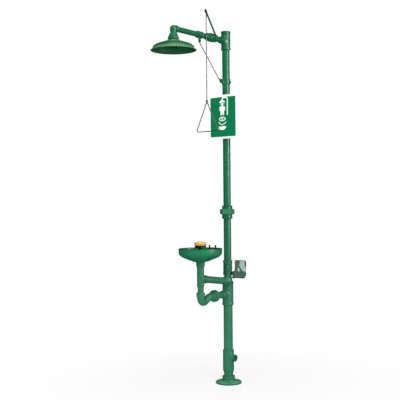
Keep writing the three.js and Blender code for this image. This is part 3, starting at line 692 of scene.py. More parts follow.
def cast(distance, low, high, cell=1.8):
    return Shape(*surface_nets(distance, low, high, cell))


def to_mesh(name, shape):
    mesh = bpy.data.meshes.new(name)
    mesh.from_pydata([p * MM for p in shape.points], [], shape.faces)
    tone = mesh.attributes.new("tone", "FLOAT", "POINT")
    tone.data.foreach_set("value", shape.tones)
    work = bmesh.new()
    work.from_mesh(mesh)
    bmesh.ops.remove_doubles(work, verts=work.verts, dist=1e-6)
    bmesh.ops.recalc_face_normals(work, faces=work.faces)
    work.to_mesh(mesh)
    work.free()
    return mesh


def carve(shape, removed=(), added=()):
    """The shape with others joined to it and cut out of it, as a mesh."""
    base = bpy.data.objects.new("carving", to_mesh("carving", shape))
    bpy.context.scene.collection.objects.link(base)
    helpers = []
    for operation, others in (("UNION", added), ("DIFFERENCE", removed)):
        for other in others:
            helper = bpy.data.objects.new("cutter", to_mesh("cutter", other))
            bpy.context.scene.collection.objects.link(helper)
            modifier = base.modifiers.new(operation, "BOOLEAN")
            modifier.operation, modifier.solver, modifier.object = operation, "EXACT", helper
            helpers.append(helper)
    graph = bpy.context.evaluated_depsgraph_get()
    graph.update()
    result = bpy.data.meshes.new_from_object(base.evaluated_get(graph))
    for helper in helpers + [base]:
        bpy.data.objects.remove(helper)
    return result


def piece(name, shape, material, replaces=(), body="station", smooth=38, bevel=0):
    """A shown piece. bevel rounds the crisp edges of carved and extruded shapes, in millimetres.
    """
    mesh = shape if isinstance(shape, bpy.types.Mesh) else to_mesh(name, shape)
    mesh.name = name
    mesh.materials.clear()
    mesh.materials.append(material)
    for face in mesh.polygons:
        face.use_smooth = True
    mesh.set_sharp_from_angle(angle=math.radians(smooth))
    made = bpy.data.objects.new(name, mesh)
    bpy.context.scene.collection.objects.link(made)
    if bevel:
        rounding = made.modifiers.new("rounding", "BEVEL")
        rounding.width = bevel * MM
        rounding.segments = 2
        rounding.limit_method = "ANGLE"
        rounding.angle_limit = math.radians(40)
        rounding.harden_normals = True
    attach(made, body)
    if replaces:
        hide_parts(*replaces)
    return made


# ---------------------------------------------------------------- stanchion

THREAD_PITCH = 2.2
THREAD_DEPTH = 0.7


def pipe(radius, bore, low, high, threads_low=0, threads_high=0, sides=64):
    """A pipe along Z from low to high. threads_ are the stretches that show thread at each end."""
    outline = [(bore, low), (radius - 1.2, low), (radius - 0.2, low + 1)]

    def crests(start, length):
        for i in range(int(length / THREAD_PITCH)):
            z = start + i * THREAD_PITCH
            outline.extend([
                (radius - 0.2, z + 0.2), (radius - THREAD_DEPTH, z + THREAD_PITCH / 2),
                (radius - 0.2, z + THREAD_PITCH - 0.2),
            ])

    crests(low + 1, threads_low)
    outline.extend([(radius, low + threads_low + 3), (radius, high - threads_high - 3)])
    crests(high - threads_high - 1, threads_high)
    outline.extend([(radius - 0.2, high - 1), (radius - 1.2, high), (bore, high)])
    return lathe(outline, sides)


def tee_body(p, low, high, radius, band, band_radius):
    """A straight fitting with a thickened band at each end and a turned-in shoulder."""
    outline = [
        (0, low), (band_radius, low), (band_radius, low + band), (radius, low + band + 3),
        (radius, high - band - 3), (band_radius, high - band), (band_radius, high), (0, high),
    ]
    return spun(p, ORIGIN, UP, outline, 1.8)


def make_stanchion():
    # the plate's top face gets tone 1: a painted highlight in the edge colour, as the top catches the light
    flange = lathe([
        (0, 0), (88, 0, 1.5), (88, 11, 3), (86, 13.2, 2), (53, 15, 5), (45, 19, 6), (43, 26, 6),
        (42.5, 50, 2.5), (31.9, 50, 1), (31.9, 16), (0, 16),
    ], 96, tone=lambda r, z: 1.0 if r > 50 and z > 12 else 0.0)
    holes = []
    for angle in (45, 135, 225, 315):
        turn = Matrix.Rotation(math.radians(angle), 3, "Z")
        at = turn @ Vector((68, 0, 0))
        holes.append(rod(7, -5, 30, 32).moved(at))
        holes.append(rod(12, 12.2, 30, 32).moved(at))
    piece("flange", carve(flange, holes), GREEN, ["floor_flange"], smooth=30)
    piece("lower_nipple", pipe(WASTE_R, WASTE_BORE, 16.3, 94.7, 36, 22), GREEN, ["waste_nipple"])

    def waste(p):
        outline = [
            (0, 75), (33, 75), (37.5, 88), (37.5, 213), (35.8, 215.5), (37.5, 218), (37.5, 227), (0, 227),
        ]
        body = spun(p, ORIGIN, UP, outline, 1.5)
        mouth = socket(p, (0, 0, 175), RIGHT, (21, 48), (24, 50, 60), 1.2)
        whole = union_of(body, mouth, 9)
        return drilled(p, whole, [
            ((0, 0, 60), UP, WASTE_ROOM, 35, 0.2),
            ((0, 0, 207), UP, WASTE_ROOM, 35, 0.2),
            ((0, 0, 80), UP, WASTE_BORE, 150, 0.2),
            ((10, 0, 175), RIGHT, 16.5, 70, 0.2),
        ])

    piece("lower_tee", cast(waste, (-38, -38, 75), (60, 38, 227)), GREEN, ["waste_tee"])
    piece("waste_stand", pipe(WASTE_R, WASTE_BORE, 207.3, 551.7, 24, 24), GREEN, ["waste_pipe"])

    def drain(p):
        body = tee_body(p, 532, 692, 36.8, 16, 38.5)
        mouth = socket(p, (0, 0, DRAIN_Z), FRONT, (26, 46), (28, 49, 62), 1.2)
        whole = union_of(body, mouth, 9)
        return drilled(p, whole, [
            ((0, 0, 520), UP, WASTE_ROOM, 32, 0.2),
            ((0, 0, 672), UP, SUPPLY_ROOM, 32, 0.2),
            ((0, 0, 545), UP, 23, 132, 0.2),
            ((0, -44, DRAIN_Z), FRONT, TRAP_ROOM, 30, 0.2),
            ((0, 0, DRAIN_Z), FRONT, 18, 60, 0.2),
        ])

    piece("drain_fitting", cast(drain, (-39, -62, 532), (39, 39, 692)), GREEN, ["drain_tee"])
    separator = lathe([
        (0, 702.3), (20.5, 702.3), (20.5, 672.3), (24.5, 672.3), (25.5, 673.5), (25.5, 692),
        (24.9, 693.5), (25.5, 695), (25.5, 735), (24.9, 736.5), (25.5, 738), (25.5, 756.5),
        (24.5, 757.7), (20.5, 757.7), (20.5, 727.7), (0, 727.7),
    ])
    piece("close_nipple", separator, GREEN, ["separator_nipple"])

    def supply(p):
        body = tee_body(p, 738, 836, 30.4, 12, 32)
        mouth = socket(p, BRANCH_Z * UP, TO_BRANCH, (18.6, 32), (20, 34, 42), 1.0)
        whole = union_of(body, mouth, 8)
        return drilled(p, whole, [
            ((0, 0, 726), UP, SUPPLY_ROOM, 32, 0.2),
            ((0, 0, 816), UP, SUPPLY_ROOM, 32, 0.2),
            ((0, 0, 750), UP, SUPPLY_BORE, 74, 0.2),
            (TO_BRANCH * 30 + BRANCH_Z * UP, TO_BRANCH, 15.3, 30, 0.2),
        ])

    piece("supply_fitting", cast(supply, (-33, -33, 738), (33, 33, 836), 1.5), GREEN, ["supply_tee"])
    low, high = UNION_Z - 20.3, UNION_Z + 20.3
    piece("supply_stand", pipe(SUPPLY_R, SUPPLY_BORE, 816.3, low, 24, 28), GREEN, ["lower_supply_pipe"])
    upper = pipe(SUPPLY_R, SUPPLY_BORE, high, TOP_LOW + 19.7, 30, 24)
    piece("upper_stand", upper, GREEN, ["upper_supply_pipe"])


def make_union():
    lower = lathe([
        (SUPPLY_ROOM, -45), (34.5, -45, 1), (36, -42, 1), (36, -34, 0.6), (34.6, -32, 0.6), (34.6, -19, 0.6),
        (36, -17, 0.6), (39, -14, 1), (39, 0), (SUPPLY_BORE, 0), (SUPPLY_BORE, -20), (SUPPLY_ROOM, -20),
    ])
    upper = lathe([
        (SUPPLY_BORE, 2.6), (39, 2.6), (39, 10, 0.6), (36, 10, 0.6), (36, 20.9), (36, 24, 0.6),
        (34.6, 26, 0.6), (34.6, 38, 0.6), (36, 40, 0.6), (36, 43, 1), (34.5, 44, 1), (SUPPLY_ROOM, 44),
        (SUPPLY_ROOM, 20), (SUPPLY_BORE, 20),
    ])
    ring = hex_nut(88, 36, 36.3, 1.2).moved(15 * DOWN)
    bore = rod(39.3, -16, 10.3)
    for name, shape, node in (
        ("union_tail_lower", lower, "union_lower_end"), ("union_tail_upper", upper, "union_upper_end"),
    ):
        piece(name, shape.moved(UNION_Z * UP), GREEN, [node])
    nut = carve(ring.moved(UNION_Z * UP), [bore.moved(UNION_Z * UP)])
    piece("union_ring", nut, GREEN, ["union_nut"], smooth=25)


def make_top_tee():
    def shape(p):
        body = tee_body(p, TOP_LOW, TOP_HIGH, 30.9, 13, 32.5)
        mouth = socket(p, (0, 0, ARM_Z), FRONT, (22, 48), (24, 51, 62), 1.2)
        whole = union_of(body, mouth, 16)
        return drilled(p, whole, [
            ((0, 0, TOP_LOW - 12), UP, SUPPLY_ROOM, 32, 0.2),
            ((0, 0, TOP_HIGH - 20), UP, 24, 32, 0.2, 1.6),
            ((0, 0, TOP_LOW + 10), UP, SUPPLY_BORE, 105, 0.2),
            ((0, -40, ARM_Z), FRONT, ARM_ROOM, 30, 0.2),
            ((0, 0, ARM_Z), FRONT, ARM_BORE, 60, 0.2),
        ])

    piece("top_fitting", cast(shape, (-33, -62, TOP_LOW), (33, 33, TOP_HIGH), 1.5), GREEN, ["top_tee"])


# ---------------------------------------------------------------- shower arm, valve and lever


def make_arm():
    nipple = pipe(ARM_R, ARM_BORE, 40.3, 129.7, 26, 22, 48)
    piece("valve_nipple", nipple.aimed(FRONT, ARM_Z * UP), GREEN, ["arm_nipple"])
    arm = pipe(ARM_R, ARM_BORE, 196.3, -HEAD_Y - 14.3, 20, 10, 48)
    piece("arm_tube", arm.aimed(FRONT, ARM_Z * UP), GREEN, ["arm_pipe"])

    def body(p):
        start = (0, 0, ARM_Z)
        barrel = spun(p, start, FRONT, [
            (0, 112), (22, 112), (22, 134), (27, 139), (29, 146), (29, 170), (27.5, 184),
            (26.5, 190), (0, 190),
        ], 1.5)
        collar = hexagon(p, (0, -112, ARM_Z), FRONT, RIGHT, 46, 22, 0.8)
        whole = union_of(barrel, collar, 1.5)
        boss = socket(p, LEVER_PIVOT, RIGHT, (12.5, 31), (14, 32, 36), 0.8)
        whole = union_of(whole, boss, 6)
        return drilled(p, whole, [
            ((0, -100, ARM_Z), FRONT, ARM_ROOM, 30, 0.2),
            ((0, -145.2, ARM_Z), FRONT, 20, 60, 0.2),
            ((0, -112, ARM_Z), FRONT, 11, 60, 0.2),
            (LEVER_PIVOT, RIGHT, 5.3, 60, 0.2, 0.5),
        ])

    piece("valve_barrel", cast(body, (-30, -190, ARM_Z - 30), (36, -112, ARM_Z + 30), 1.2), GREEN,
          ["shower_valve_body"])

    def cap(p):
        insert = bar(p, (0, -182.8, ARM_Z), FRONT, 19.7, 12, 0.6)
        nut = hexagon(p, (0, -190.3, ARM_Z), FRONT, RIGHT, 46, 21.7, 0.8)
        whole = union_of(insert, nut, 0.6)
        return drilled(p, whole, [
            ((0, -180, ARM_Z), FRONT, 11, 40, 0.2, 0.6),
            ((0, -196, ARM_Z), FRONT, ARM_ROOM, 40, 0.2, 0.8),
        ])

    piece("valve_end", cast(cap, (-27, -212, ARM_Z - 27), (27, -182, ARM_Z + 27), 1.2), GREEN,
          ["shower_valve_cap"])

    def collar(p):
        band = banded(p, (0, -262, ARM_Z), FRONT, 46, 23, 8, 21.8, 0.8)
        lug = slab(p, LUG - Vector((3, 10, 10)), LUG + Vector((3, 10, 20)), 2.2)
        whole = union_of(band, lug, 5)
        screw = bar(p, (0, LUG.y, ARM_Z + 20), UP, 5, 3, 0.6)
        whole = union_of(whole, screw, 1)
        return drilled(p, whole, [
            (LUG - 10 * RIGHT, RIGHT, 3.5, 20, 0.1, 0.5),
            ((0, -250, ARM_Z), FRONT, ARM_ROOM, 80, 0.2, 0.6),
        ])

    piece("brace_collar", cast(collar, (-24, -308, ARM_Z - 48), (24, -262, ARM_Z + 24), 1.2), GREEN,
          ["arm_collar"])

    def elbow(p):
        centre = Vector((0, HEAD_Y, ARM_Z))
        level = spun(p, centre, BACK, [(0, 0), (20.8, 0), (21, 21), (23, 24), (23, 32), (0, 32)], 1.2)
        down = spun(p, centre, DOWN, [(0, 0), (19.4, 0), (18.6, 22), (18.6, 29), (0, 29)], 1.2)
        whole = union_of(union_of(level, ball(p, centre, 20.8), 1), down, 8)
        whole = union_of(whole, bar(p, centre, DOWN, 16.5, 68, 1), 1.5)
        return drilled(p, whole, [
            (centre + 14 * BACK, BACK, ARM_ROOM, 30, 0.2, 0.8),
            (centre, BACK, 12, 30, 0.2),
            (centre, DOWN, 12, 90, 0.2),
        ])

    low, high = (-25, HEAD_Y - 25, ARM_Z - 68), (25, HEAD_Y + 32, ARM_Z + 25)
    piece("head_elbow", cast(elbow, low, high, 1.3), GREEN, ["shower_elbow"])


def stem(ball_radius, radius, length, flats):
    """A valve stem along +X: a tongue in the ball's slot, a shank, and a threaded end."""
    start = ball_radius + GAP
    outline = [(0, start), (radius, start, 0.3)]
    z = length - 12
    while z < length - 1.5:
        outline += [(radius, z), (radius - 0.45, z + 0.5)]
        z += 1
    outline += [(radius, length - 1.2), (radius - 0.9, length), (0, length)]
    shank = lathe(outline, 32).aimed(RIGHT)
    low, high = (ball_radius - 3.2, -1.7, -4), (start + 1, 1.7, 4)
    tongue = slab_mesh(low, high)
    if flats:
        tongue = slab_mesh((low[0], -4, -1.7), (high[0], 4, 1.7))
    return shank, tongue


def make_lever():
    def turned(shape):
        """From the lever's own frame, where it lies along +X and its pin along +Z, to its rest place."""
        along = Vector((0, -math.cos(LEVER_ANGLE), math.sin(LEVER_ANGLE)))
        across = RIGHT.cross(along)
        basis = Matrix((along, across, RIGHT)).transposed().to_4x4()
        at = LEVER_PIVOT + LEVER_X * RIGHT
        return shape.placed(Matrix.Translation(at) @ basis)

    outline = arc(0, 0, 12, 33, 327, 29) + arc(183.5, 0, 6.5, -90, 90, 18)
    flat = extruded(outline, 4.5).moved(2.25 * DOWN)
    holes = [
        rod(5.3, -9, 9, 32),
        rod(3.5, -9, 9, 24).moved(165 * RIGHT),
    ]
    lever = carve(turned(flat), [turned(h) for h in holes])
    piece("lever_bar", lever, LEVER_GREEN, ["shower_lever"], "shower_lever", 30, 0.9)
    clip = extruded([(-2.2, -8), (2.2, -8), (2.2, 8), (-2.2, 8)], 6.4).moved(3.2 * DOWN)
    window = slab_mesh((-9, -7.4, -2.45), (9, 7.4, 2.45))
    sleeve = carve(turned(clip.moved(90 * RIGHT)), [turned(window.moved(90 * RIGHT))])
    piece("lever_clip", sleeve, GREEN, (), "shower_lever", 30, 0.5)
    grip = lathe([
        (0, 0), (6.9, 0, 0.8), (8, 2.5, 1), (8, 6), (7.3, 7), (8, 8), (7.3, 9), (8, 10), (7.3, 11), (8, 12),
        (8, 17, 2), (6.6, 22, 2), (3, 24, 1), (0, 24),
    ], 40).aimed(RIGHT, 174 * RIGHT)
    slot = slab_mesh((170, -6.8, -2.55), (190.3, 6.8, 2.55))
    tip = carve(turned(grip), [turned(slot)])
    piece("lever_tip", tip, BLACK, ["shower_lever_tip"], "shower_lever", 30)
    shank, tongue = stem(16, 5, 54, False)
    shaft = carve(shank.moved(LEVER_PIVOT), added=[tongue.moved(LEVER_PIVOT)])
    piece("lever_stem", shaft, STEEL, ["shower_stem"], "shower_lever")
    nut = hex_nut(17, 6, 5.3).aimed(RIGHT, LEVER_PIVOT + (LEVER_X + 2.55) * RIGHT)
    piece("lever_nut", nut, LEVER_GREEN, ["shower_lever_nut"], "shower_lever", 25)
    packing = hex_nut(24, 5, 5.3).aimed(RIGHT, LEVER_PIVOT + 36.3 * RIGHT)
    piece("packing_nut", packing, GREEN, ["shower_packing_nut"], smooth=25)


# ---------------------------------------------------------------- shower head and pull line


def make_head():
    at = Vector((0, HEAD_Y, RIM_Z))

    def grips(angle, r, z):
        if r > 33 and 71 < z < 86:
            return r - 1.3 * max(0, math.cos(angle * 20)) ** 2
        return r

    nut = lathe([
        (16.8, 69), (33, 69, 0.8), (34.5, 71, 0.8), (34.5, 73), (34.5, 79), (34.5, 86, 1.5), (31, 88, 1.5),
        (29.5, 93, 1), (28, 94.4, 0.5), (26, 101, 1), (24.6, 102.4, 0.5), (22.8, 109, 1.2), (21, 111, 1),
        (16.8, 111),
    ], 160, ripple=grips)
    piece("head_ring", nut.moved(at), HEAD_GREEN, ["shower_head_nut"])

    # tone paints light and shade on the bell: painted highlights on the rim's lip, the ring on the dome and
    # the band above the rim, and painted shade over the inside
    def tone(r, z):
        if r > 141 and z < 3:
            return 0.6
        if 50 < z < 56 and 59 < r < 69:
            return 0.9
        level = height_on(inside, r)
        if level is not None and z < level + 0.4:
            return -1.0
        return 0.4 if r > 131 and z < 17 else 0.0

    inside = [(12.5, 66), (39, 61), (44, 55), (77, 47), (110, 35), (126.5, 24.6), (131, 12.6), (143, 0.4)]

    bell = lathe([
        (143.6, -0.0), (145.4, 0.2), (146, 1.2), (145.4, 2.3), (143.4, 3.4), (139, 6.5), (134.8, 11, 3),
        (131.5, 18), (129.5, 25, 5), (122, 31), (112, 37, 8), (95, 43.8), (78, 48.6, 4), (69.5, 50.4),
        (68, 53.4, 1), (63, 54.8, 1), (60, 53.6), (46, 57.4, 3), (43.5, 62), (42, 65, 2), (30, 67.4),
        (20, 68.7), (12.5, 68.7), (12.5, 65), (39, 60, 3), (44, 53.5, 3), (60, 50), (77, 45.5, 8),
        (95, 40), (110, 33.5, 8), (120, 28.6), (126.5, 23.6, 4), (128.6, 18), (131, 12, 3), (136.4, 6),
        (141, 2.2), (142.6, 0.6),
    ], 128, tone=tone)
    piece("bell", bell.moved(at), HEAD_GREEN, ["shower_bell"])

    disc = lathe([
        (0, 20), (14, 20), (15, 20.8), (16, 20), (34, 20), (35, 20.8), (36, 20), (50, 20, 0.8),
        (52, 22.5, 0.8), (48, 23.4), (12, 26, 3), (6, 30, 2), (4, 36), (4, 60), (0, 60),
    ], 72)
    cross = slab_mesh((-11.8, -2, 58), (11.8, 2, 66))
    holes = []
    for radius, count in ((25, 8), (43, 16)):
        for k in range(count):
            angle = 2 * math.pi * k / count
            hole = rod(2.2, 10, 30, 12)
            holes.append(hole.moved((radius * math.cos(angle), radius * math.sin(angle), 0)))
    deflector = carve(disc.moved(at), [h.moved(at) for h in holes], [cross.moved(at)])
    piece("deflector_disc", deflector, LEVER_GREEN, ["shower_deflector"], smooth=30)


def make_pull_line():
    y, z = ROD_HOLE.y, ROD_HOLE.z
    hook = rounded_run([(52, y, z), (ROD_X, y, z), (ROD_X, y, 1904)], 4)
    piece("pull_bar", swept(hook, 3), STEEL, ["pull_rod"], "pull_line")
    top, bottom, half = 1888, 1697, 90
    loop = rounded_run([
        (ROD_X - 2, y, top), (ROD_X - half, y, bottom), (ROD_X + half, y, bottom), (ROD_X + 2, y, top),
    ], 9)
    ferrule = lathe([
        (0, 1879), (5, 1879), (6.3, 1880.5, 0.8), (6.5, 1884), (5.9, 1886, 0.5), (5.9, 1896, 0.5),
        (6.5, 1898), (6.3, 1901.5, 0.8), (4.2, 1903), (0, 1903),
    ], 32).moved((ROD_X, y, 0))
    piece("handle_loop", swept(loop, 3), STEEL, ["pull_handle"], "pull_line")
    piece("handle_ferrule", ferrule, BLACK, (), "pull_line")


# ---------------------------------------------------------------- brace and sign

BRACE_Z = 2054
EAR_Y = -58


def bolt(at, direction, across=8, reach=5.5):
    """A hexagon screw head on its washer, which lies against the piece behind it."""
    washer = lathe([(0, 0), (across * 0.62, 0), (across * 0.62, 1.1, 0.3), (0, 1.1)], 28)
    head = hex_nut(across, reach - 1.1, 0.6, sides=48).moved(1.15 * UP)
    return (washer + head).aimed(direction, at)


def make_brace():
    z0 = BRACE_Z

    def clamp(p):
        band = banded(p, (0, 0, z0 - 17), UP, 34, 30, 5, 28.8, 0.8)
        ear = both(
            slab(p, (-3, -70, z0 - 14), (3, -26, z0 + 14), 1.5),
            bar(p, (-5, -44, z0), RIGHT, 27, 10, 0.5), 1.5,
        )
        whole = union_of(band, ear, 5)
        back_lugs = slab(p, (-7, 26, z0 - 12), (7, 44, z0 + 12), 1.5)
        whole = union_of(whole, back_lugs, 3)
        whole = without(whole, slab(p, (-1.5, 20, z0 - 30), (1.5, 60, z0 + 30), 0.1), 0.6)
        return drilled(p, whole, [
            ((-10, EAR_Y, z0), RIGHT, 3.5, 20, 0.1, 0.6),
            ((0, 0, z0 - 40), UP, SUPPLY_ROOM, 80, 0.2, 0.6),
        ])

    shape = cast(clamp, (-31, -71, z0 - 17), (31, 45, z0 + 17), 1.3)
    piece("brace_band", shape, GREEN, ["brace_clamp"])
    piece("brace_band_bolt", bolt((7, 36, z0), RIGHT), DARK_STEEL, smooth=25)
    side = -7.5
    rod = rounded_run([
        (5, LUG.y, LUG.z), (side, LUG.y, LUG.z), (side, EAR_Y, z0), (5, EAR_Y, z0),
    ], 4)
    piece("brace_bar", swept(rod, 3), STEEL, ["brace_rod"])
    for end, at in (("upper", (3.2, LUG.y, LUG.z)), ("lower", (3.2, EAR_Y, z0))):
        keeper = lathe([
            (3.1, 0), (10, 0, 0.5), (10, 1.6, 0.5), (7.5, 2, 0.5), (6.6, 5.5, 1), (3.1, 6.4, 0.5),
        ], 32).aimed(RIGHT, at)
        piece(f"brace_keeper_{end}", keeper, BLACK)


def make_sign():
    centre = SIGN_CENTRE
    front = centre.y - 1.5

    def rounded(width, height, radius):
        x, z = width / 2 - radius, height / 2 - radius
        return round_cornered([(x, z), (-x, z), (-x, -z), (x, -z)], radius)

    def standing(outline, depth, y):
        """A flat outline in X and Z of the sign's face, its back at y and its face nearer the front."""
        shape = extruded(outline, depth)
        turn = Matrix(((1, 0, 0), (0, 0, -1), (0, 1, 0))).to_4x4()
        return shape.placed(Matrix.Translation((centre.x, y, centre.z)) @ turn)

    plate = standing(rounded(229, 297, 7), 3, centre.y + 1.5)
    piece("sign_backing", plate, SIGN_WHITE, ["sign_plate"], smooth=30, bevel=0.5)
    panel = standing(rounded(213, 270, 3), 0.35, front)
    piece("sign_panel", panel, SIGN_GREEN, smooth=30)

    def circle(x, z, radius, count=32):
        turns = [2 * math.pi * k / count for k in range(count)]
        return [(x + radius * math.cos(t), z + radius * math.sin(t)) for t in turns]

    def stroke(points, width):
        """A thick line through points, as one outline."""
        left, right = [], []
        for i, (x, z) in enumerate(points):
            before = Vector(points[max(i - 1, 0)])
            after = Vector(points[min(i + 1, len(points) - 1)])
            along = (after - before).normalized()
            across = Vector((-along.y, along.x)) * width / 2
            left.append((x + across.x, z + across.y))
            right.append((x - across.x, z - across.y))
        return left + right[::-1]

    middle = -5
    eye_z, eye_half, eye_rise = -14, 27, 13
    eye_round = (eye_half**2 + eye_rise**2) / (2 * eye_rise)
    eye_turn = math.degrees(math.asin(eye_half / eye_round))
    lid = arc(middle, eye_z + eye_rise - eye_round, eye_round, 90 - eye_turn, 90 + eye_turn)
    lower_lid = arc(middle, eye_z - eye_rise + eye_round, eye_round, 270 - eye_turn, 270 + eye_turn)

    def mirrored(half):
        """An outline from its right half, given from the top down."""
        right = [(middle + x, z) for x, z in half]
        return right + [(2 * middle - x, z) for x, z in reversed(right)]

    pipe_line = [(38, 10)] + arc(28, 119, 10, 0, 90) + arc(middle + 10, 119, 10, 90, 180) + [(middle, 112)]
    graphics = [
        # the supply pipe and the shower head
        stroke(pipe_line, 7),
        mirrored([(5, 116), (20, 104), (25, 97)]),
        stroke([(middle - 14, 93), (middle - 18, 84)], 3), stroke([(middle + 14, 93), (middle + 18, 84)], 3),
        # the person under the shower
        circle(middle, 84, 9),
        mirrored([(15, 72), (22, 66), (24, 42), (18, 41), (15, 58), (14, 12), (3, 12), (1, 38)]),
        # the eye, the two jets under it and their basin
        stroke(lid, 5), stroke(lower_lid, 5), circle(middle, eye_z, 6),
        stroke([(middle - 32, -34), (middle - 20, -46), (middle, -54)], 4.5),
        stroke([(middle + 32, -34), (middle + 20, -46), (middle, -54)], 4.5),
        mirrored([(31, -65), (28, -77), (16, -88)]),
    ]
    marks = Shape([], [])
    for k, outline in enumerate(graphics):
        # neighbours that overlap differ in thickness, so no two faces share a plane
        marks = marks + standing(outline, 0.3 + 0.06 * (k % 2), front - 0.35)
    piece("sign_marks", marks, SIGN_WHITE, smooth=30)

    for k, x in enumerate((-16, 16)):
        rivet = lathe([(0, 0), (3.4, 0), (3.2, 0.8, 0.4), (2, 1.5), (0, 1.8)], 24)
        at = (x, front - 0.35, centre.z + 6)
        piece(f"sign_rivet_{k + 1}", rivet.aimed(FRONT, at), SIGN_GREEN)

    z0 = centre.z

    def clamp(p):
        band = banded(p, (0, 0, z0 - 15), UP, 30, 30, 4, 29, 0.6)
        pad = slab(p, (-20, -38.2, z0 - 15), (20, -24, z0 + 15), 1.2)
        whole = union_of(band, pad, 2)
        whole = union_of(whole, slab(p, (-7, 26, z0 - 11), (7, 42, z0 + 11), 1.2), 2)
        whole = without(whole, slab(p, (-1.5, 20, z0 - 30), (1.5, 60, z0 + 30), 0.1), 0.6)
        return without(whole, bar(p, (0, 0, z0 - 40), UP, SUPPLY_ROOM, 80, 0.2), 0.6)

    shape = cast(clamp, (-31, -39, z0 - 15), (31, 43, z0 + 15), 1.3)
    piece("sign_band", shape, STEEL, ["sign_clamp"])
    piece("sign_band_bolt", bolt((7, 34, z0), RIGHT), DARK_STEEL, smooth=25)


# ---------------------------------------------------------------- eyewash valve and flag


def make_branch():
    centre = Vector((VALVE.x, VALVE.y, BRANCH_Z))
    back = -TO_BRANCH

    def shape(p):
        level = socket(p, centre, back, (17.6, 12), (19, 14, 23), 1)
        down = socket(p, centre, DOWN, (17.6, 9), (19, 11, 19), 1)
        whole = union_of(union_of(level, ball(p, centre, 17.6), 1), down, 6)
        whole = union_of(whole, bar(p, centre, back, 15, 35, 0.8), 0.8)
        whole = union_of(whole, bar(p, centre, DOWN, 15, 27, 0.8), 0.8)
        return drilled(p, whole, [
            (centre, back, 10, 60, 0.2),
            (centre, DOWN, 10, 60, 0.2),
        ])

    low, high = centre - Vector((28, 20, 27)), centre + Vector((20, 30, 19))
    piece("branch_bend", cast(shape, low, high, 1.2), GREEN, ["branch_elbow"])


def make_eyewash_valve():
    def body(p):
        shell = spun(p, VALVE, UP, [
            (0, -24), (21.5, -24), (22.5, -22), (22.5, -15), (20.4, -12.5), (20.4, 10), (22.5, 12.4),
            (22.5, 19.4), (21.5, 21.4), (0, 21.4),
        ], 0.8)
        boss = socket(p, VALVE, RIGHT, (11, 22), (12, 23, 27), 0.6)
        whole = union_of(shell, boss, 5)
        return drilled(p, whole, [
            (VALVE + 13 * UP, UP, 15.3, 20, 0.1, 0.5),
            (VALVE - 10 * UP, UP, 8.5, 40, 0.1, 0.5),
            (VALVE - 30 * UP, UP, 15.8, 41.7, 0.1, 0.5),
            (VALVE, RIGHT, 4.3, 60, 0.1, 0.5),
        ])

    low, high = VALVE - Vector((23, 23, 24)), VALVE + Vector((27, 23, 22))
    piece("eyewash_barrel", cast(body, low, high, 1.2), GREEN, ["eyewash_valve_body"])
    packing = hex_nut(20, 6, 4.3).aimed(RIGHT, VALVE + 27.3 * RIGHT)
    piece("eyewash_packing", packing, DARK_STEEL, ["eyewash_packing_nut"], smooth=25)
    shank, tongue = stem(11, 4, 54, True)
    shaft = carve(shank.moved(VALVE), added=[tongue.moved(VALVE)])
    piece("flag_stem", shaft, STEEL, ["eyewash_stem"], "eyewash_flag")
    nut = hex_nut(13, 5, 4.3).aimed(RIGHT, VALVE + 47.3 * RIGHT)
    piece("flag_lock_nut", nut, DARK_STEEL, ["flag_nut"], "eyewash_flag", 25)

    centre = Vector((VALVE.x, VALVE.y, ELBOW_Z))

    def elbow(p):
        ahead = socket(p, centre, TO_COLUMN, (24.6, 31), (26.4, 34, 45), 1.2)
        rise = spun(p, centre, UP, [(0, 0), (23.6, 0), (23, 15), (24.5, 19), (24.5, 30), (0, 30)], 1.2)
        whole = union_of(union_of(ahead, ball(p, centre, 24.8), 3), rise, 14)
        whole = union_of(whole, bar(p, centre, UP, 15.4, 43, 0.6), 0.6)
        return drilled(p, whole, [
            (centre + 27 * TO_COLUMN, TO_COLUMN, EYE_PIPE_R + GAP, 30, 0.1, 0.6),
            (centre, TO_COLUMN, 11, 60, 0.1),
            (centre, UP, 11, 60, 0.1),
        ])

    low, high = centre - Vector((36, 56, 28)), centre + Vector((28, 28, 44))
    piece("column_elbow", cast(elbow, low, high, 1.3), GREEN, ["outlet_elbow"])


